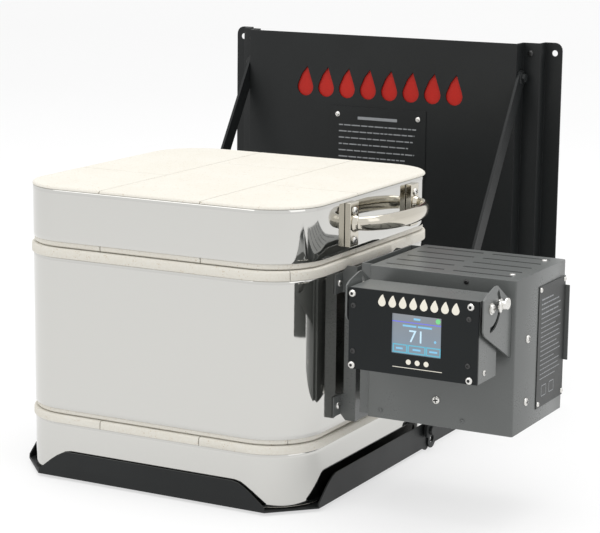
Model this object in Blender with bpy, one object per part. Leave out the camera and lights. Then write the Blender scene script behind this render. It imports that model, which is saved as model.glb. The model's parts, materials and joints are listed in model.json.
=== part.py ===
"""Small square test kiln of stacked firebrick sections on a sheet-metal stand.

Lengths below are millimetres; make_object() turns them into metres.
X runs to the right along the kiln's front, Y to the back, Z up.  The origin is the middle of the
kiln's footprint on the underside of the stand's tray.
"""
import math

import bmesh
import bpy
from mathutils import Matrix, Vector

MM = 0.001
AIR = 0.3           # clearance between pieces that touch in life
HOLE_AIR = 0.35     # radial clearance of a shank in its hole
ROUND_STEPS = 6     # segments in a rounded corner
TURN_STEPS = 16     # segments around a turned piece

# kiln body
HALF = 165.0        # outer face of the steel bands
CORNER = 57.0       # corner radius of the bands
BAND = 0.8          # band thickness
CHAMBER = 101.5     # half the chamber's width
JOINT_X = 58.0      # brick joints either side of the middle column
BASE_Z = (-1.4, 62.0)
BASE_BAND_Z = (0.6, 53.3)
RING_Z = (62.3, 235.0)
RING_BAND_Z = (67.8, 225.0)
LID_Z = (235.3, 297.0)
LID_BAND_Z = (241.5, 294.0)
BULGE = 1.6         # the brick edge stands this far proud of its band
SIDE_JOINT_Y = -38.0    # cross joint in the side columns
MIDDLE_JOINT_Y = 68.0   # cross joint in the middle column
GROOVE_Z = (97.0, 147.0, 197.0)
GROOVE_DEPTH = 9.0
GROOVE_HALF = 4.5
ELEMENT_R = 3.2

KILN_RISE = 3.2     # the kiln's own levels are raised by this to stand on the tray

# stand, whose levels are from the tray's underside
TRAY_SHEET = 1.5
TRAY_HALF = 172.9
TRAY_FRONT = -168.2
TRAY_BACK = 112.5
TRAY_CUT = 39.5     # cut front corners
LIP_Z = 27.4
# how each lip falls to a cut corner: distance from the corner, height
LIP_FALL = ((0.0, 0.0), (0.5, 5.0), (8.5, 11.5), (16.0, 17.5), (23.5, 22.6), (30.0, 26.0), (37.0, LIP_Z))
LIP_BACK = 141.5
FOOT_DROP = 3.2     # feet, ears and panel reach this far below the tray
ARM_SHEET = 1.7
ARM_HALF = 174.9    # outer face of the arms and of the panel's inner webs
ARM_FRONT = 125.0
ARM_Z = (1.3, 25.9)
EAR_HOLE = (133.0, 7.2)
EAR_HOLE_R = 4.4
PANEL_Y = 344.0
STEP_Y = 365.0
WALL_Y = 383.0
STEP_HALF = 195.0
PANEL_HALF = 215.0
PANEL_TOP = 421.2
PANEL_SHEET = 2.0
WALL_HOLE = (206.0, 409.1)
BRACE_LOW = (119.5, 20.4)
BRACE_HIGH = (354.5, 381.6)
BRACE_HALF = 9.0
BRACE_SHEET = 3.0
BOLT_R = 3.0

# control box and its heat baffle
BAFFLE_X = (165.3, 182.8)
BAFFLE_Y = (-72.6, 40.0)
BAFFLE_Z = (73.0, 230.0)
FOOT_LENGTH = 15.4
CHASSIS_X = 197.0
CHASSIS_Y = (-92.0, 19.0)
BOX_X = (209.5, 361.4)
BOX_Y = (-100.0, 27.0)
BOX_Z = (89.0, 239.0)
BOX_SHEET = 1.5
SLOT_Y = (-82.0, -58.0, -34.0, -10.0, 14.0)
SLOT_X = ((218.5, 279.0), (289.0, 349.0))

# display pod
POD_X = (222.0, 353.0)
POD_Y = (-166.0, -125.0)
POD_Z = (153.5, 231.0)
POD_SHEET = 1.5
EAR_X = (218.5, 356.5)
EAR_SHEET = 1.5
PIVOT = (-150.0, 222.0)
SLOT_R = 20.0
SCREEN_X = (266.0, 316.0)
SCREEN_Z = (173.8, 211.3)

# lid handle
HANDLE_Y = 12.0
HANDLE_Z = 270.0
HANDLE_SPAN = 70.0  # from the handle's middle to the middle of a flange
HANDLE_BOW = 30.0   # how far the grip's middle line stands off its flanges
FLANGE_HALF = 9.0
FLANGE_Z = (247.0, 291.0)
FLANGE_THICK = 6.3

MATERIALS = {}


# ---------------------------------------------------------------- materials and objects
def material(name, colour, roughness, metallic=0.0):
    """One Principled material, made once and shared."""
    if name not in MATERIALS:
        mat = bpy.data.materials.new(name)
        mat.use_nodes = True
        shader = mat.node_tree.nodes["Principled BSDF"]
        shader.inputs["Base Color"].default_value = (*colour, 1.0)
        shader.inputs["Roughness"].default_value = roughness
        shader.inputs["Metallic"].default_value = metallic
        mat.diffuse_color = (*colour, 1.0)
        MATERIALS[name] = mat
    return MATERIALS[name]


def brick():
    return material("firebrick", (0.84, 0.79, 0.68), 0.95)


def polished():
    return material("polished_steel", (0.78, 0.78, 0.76), 0.12, 1.0)


def black_coat():
    return material("black_powder_coat", (0.025, 0.027, 0.028), 0.55)


def grey_coat():
    return material("grey_powder_coat", (0.16, 0.17, 0.17), 0.5)


def zinc():
    return material("zinc_fastener", (0.72, 0.72, 0.70), 0.3, 1.0)


def clear_scene():
    for obj in list(bpy.data.objects):
        bpy.data.objects.remove(obj, do_unlink=True)


def store(name, bm, mat, origin=(0.0, 0.0, 0.0), parent=None):
    """Store a millimetre bmesh, faces as they are, as one object with its origin at a point."""
    point = Vector(origin)
    bmesh.ops.transform(bm, matrix=Matrix.Scale(MM, 4) @ Matrix.Translation(-point), verts=bm.verts)
    mesh = bpy.data.meshes.new(name)
    bm.to_mesh(mesh)
    bm.free()
    mesh.materials.append(mat)
    obj = bpy.data.objects.new(name, mesh)
    bpy.context.scene.collection.objects.link(obj)
    if parent:
        obj.parent = parent
        point = point - Vector(parent.location) / MM
    obj.location = point * MM
    return obj


def make_object(name, bm, mat, origin=(0.0, 0.0, 0.0), parent=None, smooth=True):
    """Store a closed solid with its faces turned outwards."""
    bmesh.ops.recalc_face_normals(bm, faces=bm.faces)
    obj = store(name, bm, mat, origin, parent)
    if smooth:
        obj.data.shade_smooth()
        obj.data.set_sharp_from_angle(angle=math.radians(30.0))
    return obj


def pivot(name, point):
    """An empty on a joint, which the moving pieces hang from."""
    empty = bpy.data.objects.new(name, None)
    empty.location = Vector(point) * MM
    bpy.context.scene.collection.objects.link(empty)
    return empty


# ---------------------------------------------------------------- outlines
def arc(cx, cy, radius, start, end, steps):
    """Points of an arc, angles in degrees."""
    points = []
    for i in range(steps + 1):
        angle = math.radians(start + (end - start) * i / steps)
        points.append((cx + radius * math.cos(angle), cy + radius * math.sin(angle)))
    return points


def rounded_square(half, radius):
    """A square with round corners, counter-clockwise."""
    inner = half - radius
    points = []
    for k, (sx, sy) in enumerate(((1, 1), (-1, 1), (-1, -1), (1, -1))):
        points += arc(sx * inner, sy * inner, radius, 90 * k, 90 * k + 90, ROUND_STEPS)
    return points


def rectangle(x0, x1, y0, y1):
    return [(x0, y0), (x1, y0), (x1, y1), (x0, y1)]


def place(point, level, axis):
    """A 2-D outline point lifted into space; the level runs along the axis."""
    u, v = point
    return {"X": (level, u, v), "Y": (u, level, v), "Z": (u, v, level)}[axis]


# ---------------------------------------------------------------- solids
def loft(loops, ring=False):
    """Skin a stack of equal loops: capped at both ends, or closed on itself as a ring."""
    bm = bmesh.new()
    rows = [[bm.verts.new(p) for p in loop] for loop in loops]
    count = len(rows[0])
    last = len(rows) if ring else len(rows) - 1
    for r in range(last):
        low = rows[r]
        high = rows[(r + 1) % len(rows)]
        for i in range(count):
            j = (i + 1) % count
            bm.faces.new((low[i], low[j], high[j], high[i]))
    if not ring:
        bm.faces.new(rows[0])
        bm.faces.new(rows[-1])
    return bm


def prism(outline, axis, low, high):
    return loft([[place(p, level, axis) for p in outline] for level in (low, high)])


def block(x0, x1, y0, y1, z0, z1):
    return prism(rectangle(x0, x1, y0, y1), "Z", z0, z1)


def circle(radius, steps=TURN_STEPS, centre=(0.0, 0.0)):
    return arc(centre[0], centre[1], radius, 0, 360 - 360 / steps, steps - 1)


def turned(profile, axis, centre, steps=TURN_STEPS):
    """A turned piece from (radius, level) pairs, about an axis through a 2-D centre."""
    return loft([[place(p, level, axis) for p in circle(radius, steps, centre)]
                 for radius, level in profile])


def sheet(polygons):
    """Flat faces that share corners where they fold; solidify() gives the gauge."""
    bm = bmesh.new()
    known = {}
    for polygon in polygons:
        verts = []
        for point in polygon:
            key = tuple(round(c, 4) for c in point)
            if key not in known:
                known[key] = bm.verts.new(point)
            verts.append(known[key])
        bm.faces.new(verts)
    return bm


def make_sheet(name, polygons, gauge, mat, **kwargs):
    """A folded sheet; the polygons are its outer faces and the gauge goes inwards."""
    bm = sheet(polygons)
    mesh_object = store(name, bm, mat, **kwargs)
    thick = mesh_object.modifiers.new("gauge", "SOLIDIFY")
    thick.thickness = gauge * MM
    thick.offset = -1.0
    thick.solidify_mode = "NON_MANIFOLD"
    thick.nonmanifold_thickness_mode = "CONSTRAINTS"
    return mesh_object


def boolean(target, bm, label, operation="DIFFERENCE"):
    """Cut or join with a hidden helper solid, which stays as a live Boolean."""
    helper = make_object(target.name + "_" + label, bm, black_coat(), smooth=False)
    helper.hide_render = True
    helper.display_type = "WIRE"
    mod = target.modifiers.new(label, "BOOLEAN")
    mod.operation = operation
    mod.solver = "EXACT"
    mod.object = helper


def merge(meshes):
    """Several separate solids in one bmesh, for use as one cutter."""
    out = bmesh.new()
    for bm in meshes:
        lookup = {v: out.verts.new(v.co) for v in bm.verts}
        for face in bm.faces:
            out.faces.new([lookup[v] for v in face.verts])
        bm.free()
    return out


def keep_side(bm, point, normal):
    """Cut a closed solid by a plane, keep the side behind the normal and close the cut."""
    geometry = bm.verts[:] + bm.edges[:] + bm.faces[:]
    cut = bmesh.ops.bisect_plane(bm, geom=geometry, plane_co=point, plane_no=normal,
                                 clear_outer=True, dist=1e-5)
    edges = [e for e in cut["geom_cut"] if isinstance(e, bmesh.types.BMEdge)]
    bmesh.ops.edgeloop_fill(bm, edges=edges)


# ---------------------------------------------------------------- kiln sections
def section_loops(profile):
    """Rounded-square loops from (inset from the band's face, level) pairs."""
    return [[(x, y, z) for x, y in rounded_square(HALF - inset, CORNER - inset)]
            for inset, z in profile]


def core_inset():
    return BAND + AIR


def section_profile(bottom, band_bottom, band_top, top):
    """Outer profile of a brick section: slightly eased below, proud of the band above."""
    core = core_inset()
    return [(core + 1.6, bottom), (core, bottom + 1.6), (core, band_bottom), (core, band_top + 0.1),
            (-BULGE, band_top + AIR), (-BULGE, top - 2.4), (-BULGE + 0.8, top - 0.9), (1.0, top)]


def band(name, levels, parent=None, origin=(0, 0, 0)):
    """A steel wrap around one section."""
    low, high = levels
    outer = section_loops([(0.0, low), (0.0, high)])
    inner = section_loops([(BAND, high), (BAND, low)])
    return make_object(name, loft(outer + inner, ring=True), polished(), origin, parent)


def slab_brick(name, profile, x_range, y_range, parent, origin):
    """One brick of a solid section, cut from the section's outline."""
    bm = loft(section_loops(profile))
    for value, axis, side in ((x_range[0], 0, -1), (x_range[1], 0, 1),
                              (y_range[0], 1, -1), (y_range[1], 1, 1)):
        if abs(value) < HALF:
            point = [0.0, 0.0, 0.0]
            point[axis] = value - side * AIR / 2
            normal = [0.0, 0.0, 0.0]
            normal[axis] = side
            keep_side(bm, point, normal)
    return make_object(name, bm, brick(), origin, parent)


def slab_columns():
    """Brick layout of lid and base: x range, y range and a plain name."""
    far = HALF + 10.0
    return [("left_front", (-far, -JOINT_X), (-far, SIDE_JOINT_Y)),
            ("left_back", (-far, -JOINT_X), (SIDE_JOINT_Y, far)),
            ("middle_front", (-JOINT_X, JOINT_X), (-far, MIDDLE_JOINT_Y)),
            ("middle_back", (-JOINT_X, JOINT_X), (MIDDLE_JOINT_Y, far)),
            ("right_front", (JOINT_X, far), (-far, SIDE_JOINT_Y)),
            ("right_back", (JOINT_X, far), (SIDE_JOINT_Y, far))]


def build_base():
    origin = (0.0, 0.0, BASE_Z[0])
    base = pivot("base_section_joint", origin)
    profile = section_profile(BASE_Z[0], BASE_BAND_Z[0], BASE_BAND_Z[1], BASE_Z[1])
    far = HALF + 10.0
    for label, x_range in (("left", (-far, -JOINT_X)), ("middle", (-JOINT_X, JOINT_X)),
                           ("right", (JOINT_X, far))):
        slab_brick("base_brick_" + label, profile, x_range, (-far, far), base, origin)
    band("base_band", BASE_BAND_Z, base, origin)


def build_lid():
    origin = (0.0, 0.0, LID_Z[0])
    lid = pivot("lid_joint", origin)
    profile = section_profile(LID_Z[0], LID_BAND_Z[0], LID_BAND_Z[1], LID_Z[1])
    for label, x_range, y_range in slab_columns():
        slab_brick("lid_brick_" + label, profile, x_range, y_range, lid, origin)
    band("lid_band", LID_BAND_Z, lid, origin)
    build_handle(lid, origin)


def handle_path():
    """Middle line of the grip, a half ellipse from the near flange to the far one."""
    root = HALF + AIR + FLANGE_THICK + AIR
    return [(root + HANDLE_BOW * math.cos(a), HANDLE_Y + HANDLE_SPAN * math.sin(a))
            for a in (math.radians(-90.0 + 11.25 * i) for i in range(17))]


def grip_loops():
    """Flattened cross sections along the grip, fuller in the middle; the ends lie flat."""
    path = handle_path()
    last = len(path) - 1
    loops = []
    for i, (x, y) in enumerate(path):
        before = Vector(path[max(i - 1, 0)])
        after = Vector(path[min(i + 1, last)])
        along = (after - before).normalized()
        if i in (0, last):
            along = Vector((1.0 if i == 0 else -1.0, 0.0))
        side = Vector((along.y, -along.x))
        swell = math.sin(math.pi * i / last)
        half_wide = 3.8 + 0.7 * swell
        half_high = 6.6 + 1.6 * swell
        loops.append([(x + side.x * half_wide * u, y + side.y * half_wide * u,
                       HANDLE_Z + half_high * v) for u, v in circle(1.0, 12)])
    return loops


def build_handle(lid, origin):
    """Cast bow handle: two screwed flanges and a flattened grip."""
    flange_x = (HALF + AIR, HALF + AIR + FLANGE_THICK)
    for label, side in (("near", -1), ("far", 1)):
        middle = HANDLE_Y + side * HANDLE_SPAN
        bm = prism(rectangle(middle - FLANGE_HALF, middle + FLANGE_HALF, *FLANGE_Z), "X", *flange_x)
        edges = [e for e in bm.edges if min(v.co.x for v in e.verts) > flange_x[1] - 0.01]
        bmesh.ops.bevel(bm, geom=edges, offset=1.4, segments=2, affect="EDGES", profile=0.5)
        make_object("handle_flange_" + label, bm, polished(), origin, lid)
    make_object("handle_grip", loft(grip_loops()), polished(), origin, lid)


def ring_inner_profile():
    """Chamber wall from top to bottom, with the element grooves."""
    low, high = RING_Z
    levels = [(CHAMBER, high)]
    for z in reversed(GROOVE_Z):
        levels += [(CHAMBER, z + GROOVE_HALF), (CHAMBER + GROOVE_DEPTH, z + GROOVE_HALF),
                   (CHAMBER + GROOVE_DEPTH, z - GROOVE_HALF), (CHAMBER, z - GROOVE_HALF)]
    return levels + [(CHAMBER, low)]


def build_ring(ring, origin):
    """Four mitred wall bricks, their band and the heating elements in their grooves."""
    outer = section_loops(section_profile(RING_Z[0], RING_BAND_Z[0], RING_BAND_Z[1], RING_Z[1]))
    inner = [[(x, y, z) for x, y in rounded_square(half, 4.0)] for half, z in ring_inner_profile()]
    walls = {}
    for label, turn in (("front", 0), ("right", 90), ("back", 180), ("left", 270)):
        bm = loft(outer + inner, ring=True)
        bmesh.ops.rotate(bm, cent=(0, 0, 0), matrix=Matrix.Rotation(math.radians(-turn), 3, "Z"),
                         verts=bm.verts)
        for side in (-1, 1):
            normal = Vector((side, 1.0, 0.0)).normalized()
            keep_side(bm, -normal * AIR / 2, normal)
        bmesh.ops.rotate(bm, cent=(0, 0, 0), matrix=Matrix.Rotation(math.radians(turn), 3, "Z"),
                         verts=bm.verts)
        walls[label] = make_object("ring_brick_" + label, bm, brick(), origin, ring)
    wrap = band("ring_band", RING_BAND_Z, ring, origin)
    ceramic = material("ceramic_tube", (0.82, 0.79, 0.72), 0.6)
    element = material("element_wire", (0.18, 0.16, 0.15), 0.45, 0.8)
    holes = []
    for label, z in zip(("lower", "middle", "upper"), GROOVE_Z):
        half = CHAMBER + GROOVE_DEPTH - ELEMENT_R - AIR
        loops = []
        for u, v in circle(ELEMENT_R, 8):
            loops.append([(x, y, z + v) for x, y in rounded_square(half + u, 6.0 + u)])
        make_object("heating_element_" + label, loft(loops, ring=True), element, origin, ring)
    for label, y, z in (("lower", 30.0, 122.0), ("upper", 30.0, 172.0)):
        tube = turned(((4.0, CHAMBER - 2.0), (4.0, CHASSIS_X - 6.0)), "X", (y, z))
        make_object("element_bushing_" + label, tube, ceramic, origin, ring)
        holes.append((y, z, 4.0))
    probe = turned(((1.6, 84.0), (3.2, 86.0), (3.2, CHASSIS_X - 3.0)), "X", (-20.0, 172.0))
    make_object("thermocouple", probe, ceramic, origin, ring)
    holes.append((-20.0, 172.0, 3.2))
    for target, low in ((walls["right"], 60.0), (wrap, HALF - 8.0)):
        cut = merge([turned(((r + HOLE_AIR, low), (r + HOLE_AIR, HALF + 8.0)), "X", (y, z))
                     for y, z, r in holes])
        boolean(target, cut, "feedthroughs")
    return holes


# ---------------------------------------------------------------- stand
def side_lip(side):
    """Tray side lip with its rear ear, as a face in the lip's plane."""
    x = side * TRAY_HALF
    start = TRAY_FRONT + TRAY_CUT
    ear = [(0.0, 0.0), (4.0, -1.6), (7.5, -FOOT_DROP), (11.0, -FOOT_DROP), (14.5, -1.6), (17.0, 3.0)]
    outline = [(TRAY_BACK + y, z) for y, z in ear]
    outline += [(LIP_BACK, 3.0), (LIP_BACK, 22.0), (LIP_BACK - 5.0, LIP_Z)]
    outline += [(start + inward, z) for inward, z in reversed(LIP_FALL)]
    face = [(x, y, z) for y, z in outline]
    return face if side > 0 else face[::-1]


def front_lip():
    """Front lip of full height in the middle, sloping down to the cut corners."""
    half = TRAY_HALF - TRAY_CUT
    right = [(half - inward, z) for inward, z in LIP_FALL]
    left = [(-x, z) for x, z in reversed(right)]
    return [(x, TRAY_FRONT, z) for x, z in right + left]


def mirrored(side, *offsets):
    """Offsets from the stand's middle plane on one side, in rising order."""
    return sorted(side * offset for offset in offsets)


def build_tray():
    """Tray with cut front corners, three lips and two rear ears."""
    cut_y = TRAY_FRONT + TRAY_CUT
    half = TRAY_HALF - TRAY_CUT
    floor = [(half, TRAY_FRONT), (-half, TRAY_FRONT), (-TRAY_HALF, cut_y), (-TRAY_HALF, TRAY_BACK),
             (TRAY_HALF, TRAY_BACK), (TRAY_HALF, cut_y)]
    floor = [(x, y, 0.0) for x, y in floor]
    tray = make_sheet("stand_tray", [floor, front_lip(), side_lip(1), side_lip(-1)],
                      TRAY_SHEET, black_coat())
    holes = []
    for side in (-1, 1):
        low, high = mirrored(side, TRAY_HALF - 6.0, TRAY_HALF + 4.0)
        for centre, radius in ((EAR_HOLE, EAR_HOLE_R), (BRACE_LOW, BOLT_R + HOLE_AIR)):
            holes.append(turned(((radius, low), (radius, high)), "X", centre))
    boolean(tray, merge(holes), "holes")
    rubber = material("rubber", (0.03, 0.03, 0.03), 0.8)
    for label, side in (("left", -1), ("right", 1)):
        pad = turned(((8.0, -FOOT_DROP), (9.0, -FOOT_DROP + 0.8), (9.0, -AIR)), "Z",
                     (side * 112.0, -150.0))
        make_object("stand_foot_" + label, pad, rubber)


def arm_outline():
    """Side view (y, z) of an arm: straight bar with a round ear under its front end."""
    ear_y, ear_z = EAR_HOLE
    radius = ear_z + FOOT_DROP
    low, high = ARM_Z
    lobe = arc(ear_y, ear_z, radius, 200, 326, 8)
    back = PANEL_Y - AIR
    return (lobe + [(back, low), (back, high)]
            + arc(ARM_FRONT + 8.0, high - 8.0, 8.0, 90, 180, 5))


def build_arms():
    """Arms carry the tray from the back panel; a bent tab bolts each to the panel."""
    back = PANEL_Y - AIR
    low, high = ARM_Z
    for label, side in (("left", -1), ("right", 1)):
        x = side * ARM_HALF
        inner = side * (ARM_HALF - 26.0)
        web = [(x, y, z) for y, z in arm_outline()]
        tab = [(x, back, high), (x, back, low), (inner, back, low), (inner, back, high)]
        if side < 0:
            web = web[::-1]
            tab = tab[::-1]
        arm = make_sheet("stand_arm_" + label, [web, tab], ARM_SHEET, black_coat())
        span = mirrored(side, ARM_HALF - 6.0, ARM_HALF + 4.0)
        cut = turned(((EAR_HOLE_R, span[0]), (EAR_HOLE_R, span[1])), "X", EAR_HOLE)
        boolean(arm, cut, "hole")


def brace_outline():
    """Flat bar with round ends between its two bolts, seen from the side."""
    low = Vector(BRACE_LOW)
    high = Vector(BRACE_HIGH)
    angle = math.degrees(math.atan2(high.y - low.y, high.x - low.x))
    return (arc(high.x, high.y, BRACE_HALF, angle - 90, angle + 90, 8)
            + arc(low.x, low.y, BRACE_HALF, angle + 90, angle + 270, 8))


def brace_bolt(side, level, centre, label):
    """Bolt through a brace: the lower one ends in the tray's lip, the upper one in the panel."""
    head = ARM_HALF + AIR + BRACE_SHEET + AIR
    tip = TRAY_HALF - TRAY_SHEET if level == "lower" else ARM_HALF - 9.0
    profile = [(BOLT_R, tip), (BOLT_R, head), (8.6, head), (8.6, head + 1.2),
               (5.4, head + 1.3), (5.0, head + 4.6), (3.0, head + 5.2)]
    profile = [(r, side * x) for r, x in profile]
    make_object("brace_bolt_%s_%s" % (label, level), turned(profile, "X", centre), zinc())


def build_braces():
    near = ARM_HALF + AIR
    for label, side in (("left", -1), ("right", 1)):
        outline = prism(brace_outline(), "X", *mirrored(side, near, near + BRACE_SHEET))
        bar = make_object("stand_brace_" + label, outline, black_coat(), smooth=False)
        wide = mirrored(side, near - 4.0, near + 8.0)
        radius = BOLT_R + HOLE_AIR
        cut = merge([turned(((radius, wide[0]), (radius, wide[1])), "X", centre)
                     for centre in (BRACE_LOW, BRACE_HIGH)])
        boolean(bar, cut, "holes")
        brace_bolt(side, "lower", BRACE_LOW, label)
        brace_bolt(side, "upper", BRACE_HIGH, label)


def flame_outline(cx, cz, height):
    """A plain teardrop flame, used in a row as a generic cut-out motif."""
    radius = height * 0.3
    low = cz - height / 2 + radius
    tip = (cx + radius * 0.25, cz + height / 2)
    return arc(cx, low, radius, 155, 385, 10) + [(cx + radius * 0.62, low + radius * 1.25), tip,
                                                 (cx - radius * 0.45, low + radius * 1.45)]


def panel_openings():
    """Cutters for the wall holes, the row of flames and the brace bolts."""
    hole_x, hole_z = WALL_HOLE
    cuts = [turned(((3.6, WALL_Y - 4.0), (3.6, WALL_Y + 6.0)), "Y", (x, z))
            for x in (-hole_x, hole_x) for z in (hole_z, 14.0)]
    for i in range(8):
        flame = flame_outline((i - 3.5) * 28.0, 363.3, 36.0)
        cuts.append(prism(flame, "Y", PANEL_Y - 3.0, PANEL_Y + 5.0))
    radius = BOLT_R + HOLE_AIR
    for side in (-1, 1):
        low, high = mirrored(side, ARM_HALF - 8.0, ARM_HALF + 5.0)
        cuts.append(turned(((radius, low), (radius, high)), "X", BRACE_HIGH))
    return cuts


def panel_corner_cutters():
    """Cutters that round the two upper outer corners."""
    ear = 9.0
    over = 4.0
    cuts = []
    for side in (-1, 1):
        centre = (side * (PANEL_HALF - ear), PANEL_TOP - ear)
        outside = side * (PANEL_HALF + over)
        rim = arc(*centre, ear, 0 if side > 0 else 180, 90, 5)
        corner = rim + [(centre[0], PANEL_TOP + over), (outside, PANEL_TOP + over), (outside, centre[1])]
        cuts.append(prism(corner, "Y", WALL_Y - 6.0, WALL_Y + 8.0))
    return cuts


def build_panel():
    """Back panel: a flat centre with two steps back to its wall flanges on each side."""
    half = [(-PANEL_HALF, WALL_Y), (-STEP_HALF, WALL_Y), (-STEP_HALF, STEP_Y), (-ARM_HALF, STEP_Y),
            (-ARM_HALF, PANEL_Y)]
    outline = half + [(-x, y) for x, y in reversed(half)]
    low = -FOOT_DROP
    strips = []
    for (ax, ay), (bx, by) in zip(outline, outline[1:]):
        strips.append([(ax, ay, low), (bx, by, low), (bx, by, PANEL_TOP), (ax, ay, PANEL_TOP)])
    panel = make_sheet("stand_back_panel", strips, PANEL_SHEET, black_coat())
    boolean(panel, merge(panel_openings()), "openings")
    boolean(panel, merge(panel_corner_cutters()), "corner_rounding")
    red = material("red_enamel", (0.62, 0.03, 0.02), 0.4)
    back = PANEL_Y + PANEL_SHEET + AIR
    backing = block(-118.0, 118.0, back, back + 1.0, 339.0, 387.0)
    make_object("emblem_backing", backing, red)
    plate = block(-63.3, 63.3, PANEL_Y - AIR - 0.7, PANEL_Y - AIR, 254.0, 336.2)
    make_object("stand_sign_plate", plate, black_coat())


# ---------------------------------------------------------------- control box
def baffle_flange(y, outward):
    """One flange of the heat baffle in the plane y, with two feet bent flat on the band."""
    inner, outer = BAFFLE_X[0] + BOX_SHEET, BAFFLE_X[1]
    low, high = BAFFLE_Z
    feet = ((low + 6.0, low + 26.0), (high - 27.0, high - 7.0))
    free = inner + 2.7
    outline = [(outer, low), (inner + 5.0, low), (inner, feet[0][0]), (inner, feet[0][1]),
               (free, feet[0][1]), (free, feet[1][0]), (inner, feet[1][0]), (inner, feet[1][1]),
               (inner + 5.0, high), (outer, high)]
    faces = [[(x, y, z) for x, z in outline[::outward]]]
    for z0, z1 in feet:
        foot = [(inner, y, z0), (inner, y + outward * FOOT_LENGTH, z0),
                (inner, y + outward * FOOT_LENGTH, z1), (inner, y, z1)]
        faces.append(foot[::outward])
    return faces


def build_baffle(ring, origin, holes):
    """C-shaped heat baffle between the hot band and the control box."""
    x = BAFFLE_X[1]
    (y0, y1), (z0, z1) = BAFFLE_Y, BAFFLE_Z
    web = [(x, y0, z0), (x, y1, z0), (x, y1, z1), (x, y0, z1)]
    faces = [web] + baffle_flange(y0, -1) + baffle_flange(y1, 1)
    plate = make_sheet("heat_baffle", faces, BOX_SHEET, grey_coat(), origin=origin, parent=ring)
    cut = merge([turned(((r + 1.0, x - 6.0), (r + 1.0, x + 6.0)), "X", (y, z)) for y, z, r in holes])
    boolean(plate, cut, "feedthroughs")


def build_chassis(ring, origin):
    """Channel on the box's left wall, which stands the box off the baffle."""
    x = CHASSIS_X
    edge = BOX_X[0] - AIR
    (y0, y1), z0, z1 = CHASSIS_Y, BOX_Z[0] + AIR, BOX_Z[1] - AIR
    plan = [(edge, y1), (x, y1), (x, y0), (edge, y0)]
    strips = [[(ax, ay, z0), (bx, by, z0), (bx, by, z1), (ax, ay, z1)]
              for (ax, ay), (bx, by) in zip(plan, plan[1:])]
    make_sheet("box_chassis_channel", strips, BOX_SHEET, grey_coat(), origin=origin, parent=ring)
    web = BAFFLE_X[1] + AIR
    gap = CHASSIS_X - AIR - web
    profile = [(4.2, web), (4.2, web + gap)]
    for label, y, z in (("lower", -58.0, 97.0), ("upper", -58.0, 214.0), ("back", 12.0, 150.0)):
        make_object("box_spacer_" + label, turned(profile, "X", (y, z), 6), zinc(), origin, ring)


def build_box(ring, origin):
    """Control box shell with louvred top, its name plate, back plate, switch and gland."""
    (x0, x1), (y0, y1), (z0, z1) = BOX_X, BOX_Y, BOX_Z
    t = BOX_SHEET
    shell = block(x0, x1, y0, y1, z0, z1)
    upright = [e for e in shell.edges if abs(e.verts[0].co.z - e.verts[1].co.z) > 1]
    bmesh.ops.bevel(shell, geom=upright, offset=2.0, segments=2, affect="EDGES", profile=0.5)
    shell = make_object("box_shell", shell, grey_coat(), origin, ring)
    boolean(shell, block(x0 + t, x1 - t, y0 + t, y1 - t, z0 + t, z1 - t), "inside")
    slots = [block(a, b, y - 1.3, y + 1.3, z1 - 4.0, z1 + 4.0) for a, b in SLOT_X for y in SLOT_Y]
    slots.append(block(x0 - 3.0, x0 + 3.0, CHASSIS_Y[0] + 6.0, CHASSIS_Y[1] - 6.0, z0 + 8.0, z1 - 8.0))
    slots.append(block(324.5, 337.5, y1 - 5.0, y1 + 5.0, 163.5, 186.5))
    slots.append(turned(((7.5 + HOLE_AIR, y1 - 5.0), (7.5 + HOLE_AIR, y1 + 5.0)), "Y", (330.0, 112.0)))
    boolean(shell, merge(slots), "openings")

    label = material("label_plate", (0.03, 0.03, 0.032), 0.35)
    plate = block(x1 + AIR, x1 + AIR + 0.6, -43.5, 26.0, 103.2, 223.5)
    make_object("box_data_plate", plate, label, origin, ring)
    back = make_object("box_back_plate", block(236.0, 366.0, y1 + AIR, y1 + AIR + 1.5, 138.0, 213.5),
                       grey_coat(), origin, ring)
    boolean(back, block(324.5, 337.5, y1 - 5.0, y1 + 5.0, 163.5, 186.5), "switch_hole")
    gland = [(7.5, y1 - 8.0), (7.5, y1 + AIR), (12.0, y1 + AIR), (12.0, y1 + 5.0), (9.8, y1 + 5.2),
             (9.8, y1 + 12.0), (6.0, y1 + 16.0)]
    make_object("cord_gland", turned(gland, "Y", (330.0, 112.0), 12),
                material("black_plastic", (0.03, 0.03, 0.03), 0.45), origin, ring)
    build_electrics(ring, origin)


def build_electrics(ring, origin):
    """Power board and its transformer inside the box."""
    floor = BOX_Z[0] + BOX_SHEET + 8.0
    board = floor + 1.6
    pcb = material("circuit_board", (0.03, 0.16, 0.08), 0.5)
    make_object("power_board", block(222.0, 350.0, -84.0, 8.0, floor, board), pcb, origin, ring)
    core = material("transformer_core", (0.30, 0.30, 0.31), 0.5, 0.7)
    make_object("transformer", block(288.0, 330.0, -74.0, -38.0, board + AIR, board + 34.0), core,
                origin, ring)


def build_switch(ring):
    """Rocker switch in the back plate, tilted to its off side at rest."""
    point = (331.0, BOX_Y[1] + 1.0, 175.0)
    joint = pivot("power_switch_joint", point)
    joint.parent = ring
    joint.location = (Vector(point) - Vector(ring.location) / MM) * MM
    off_tilt = math.radians(-6.0)
    outline = [(-7.0, -6.0), (-7.0, 6.0), (2.6, 10.0), (5.2, 9.6), (3.6, 0.0), (5.2, -9.6), (2.6, -10.0)]
    bm = prism(outline, "X", -5.8, 5.8)
    bmesh.ops.rotate(bm, cent=(0, 0, 0), matrix=Matrix.Rotation(off_tilt, 3, "X"), verts=bm.verts)
    rocker = make_object("power_switch_rocker", bm,
                         material("black_plastic", (0.03, 0.03, 0.03), 0.45))
    rocker.parent = joint


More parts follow.
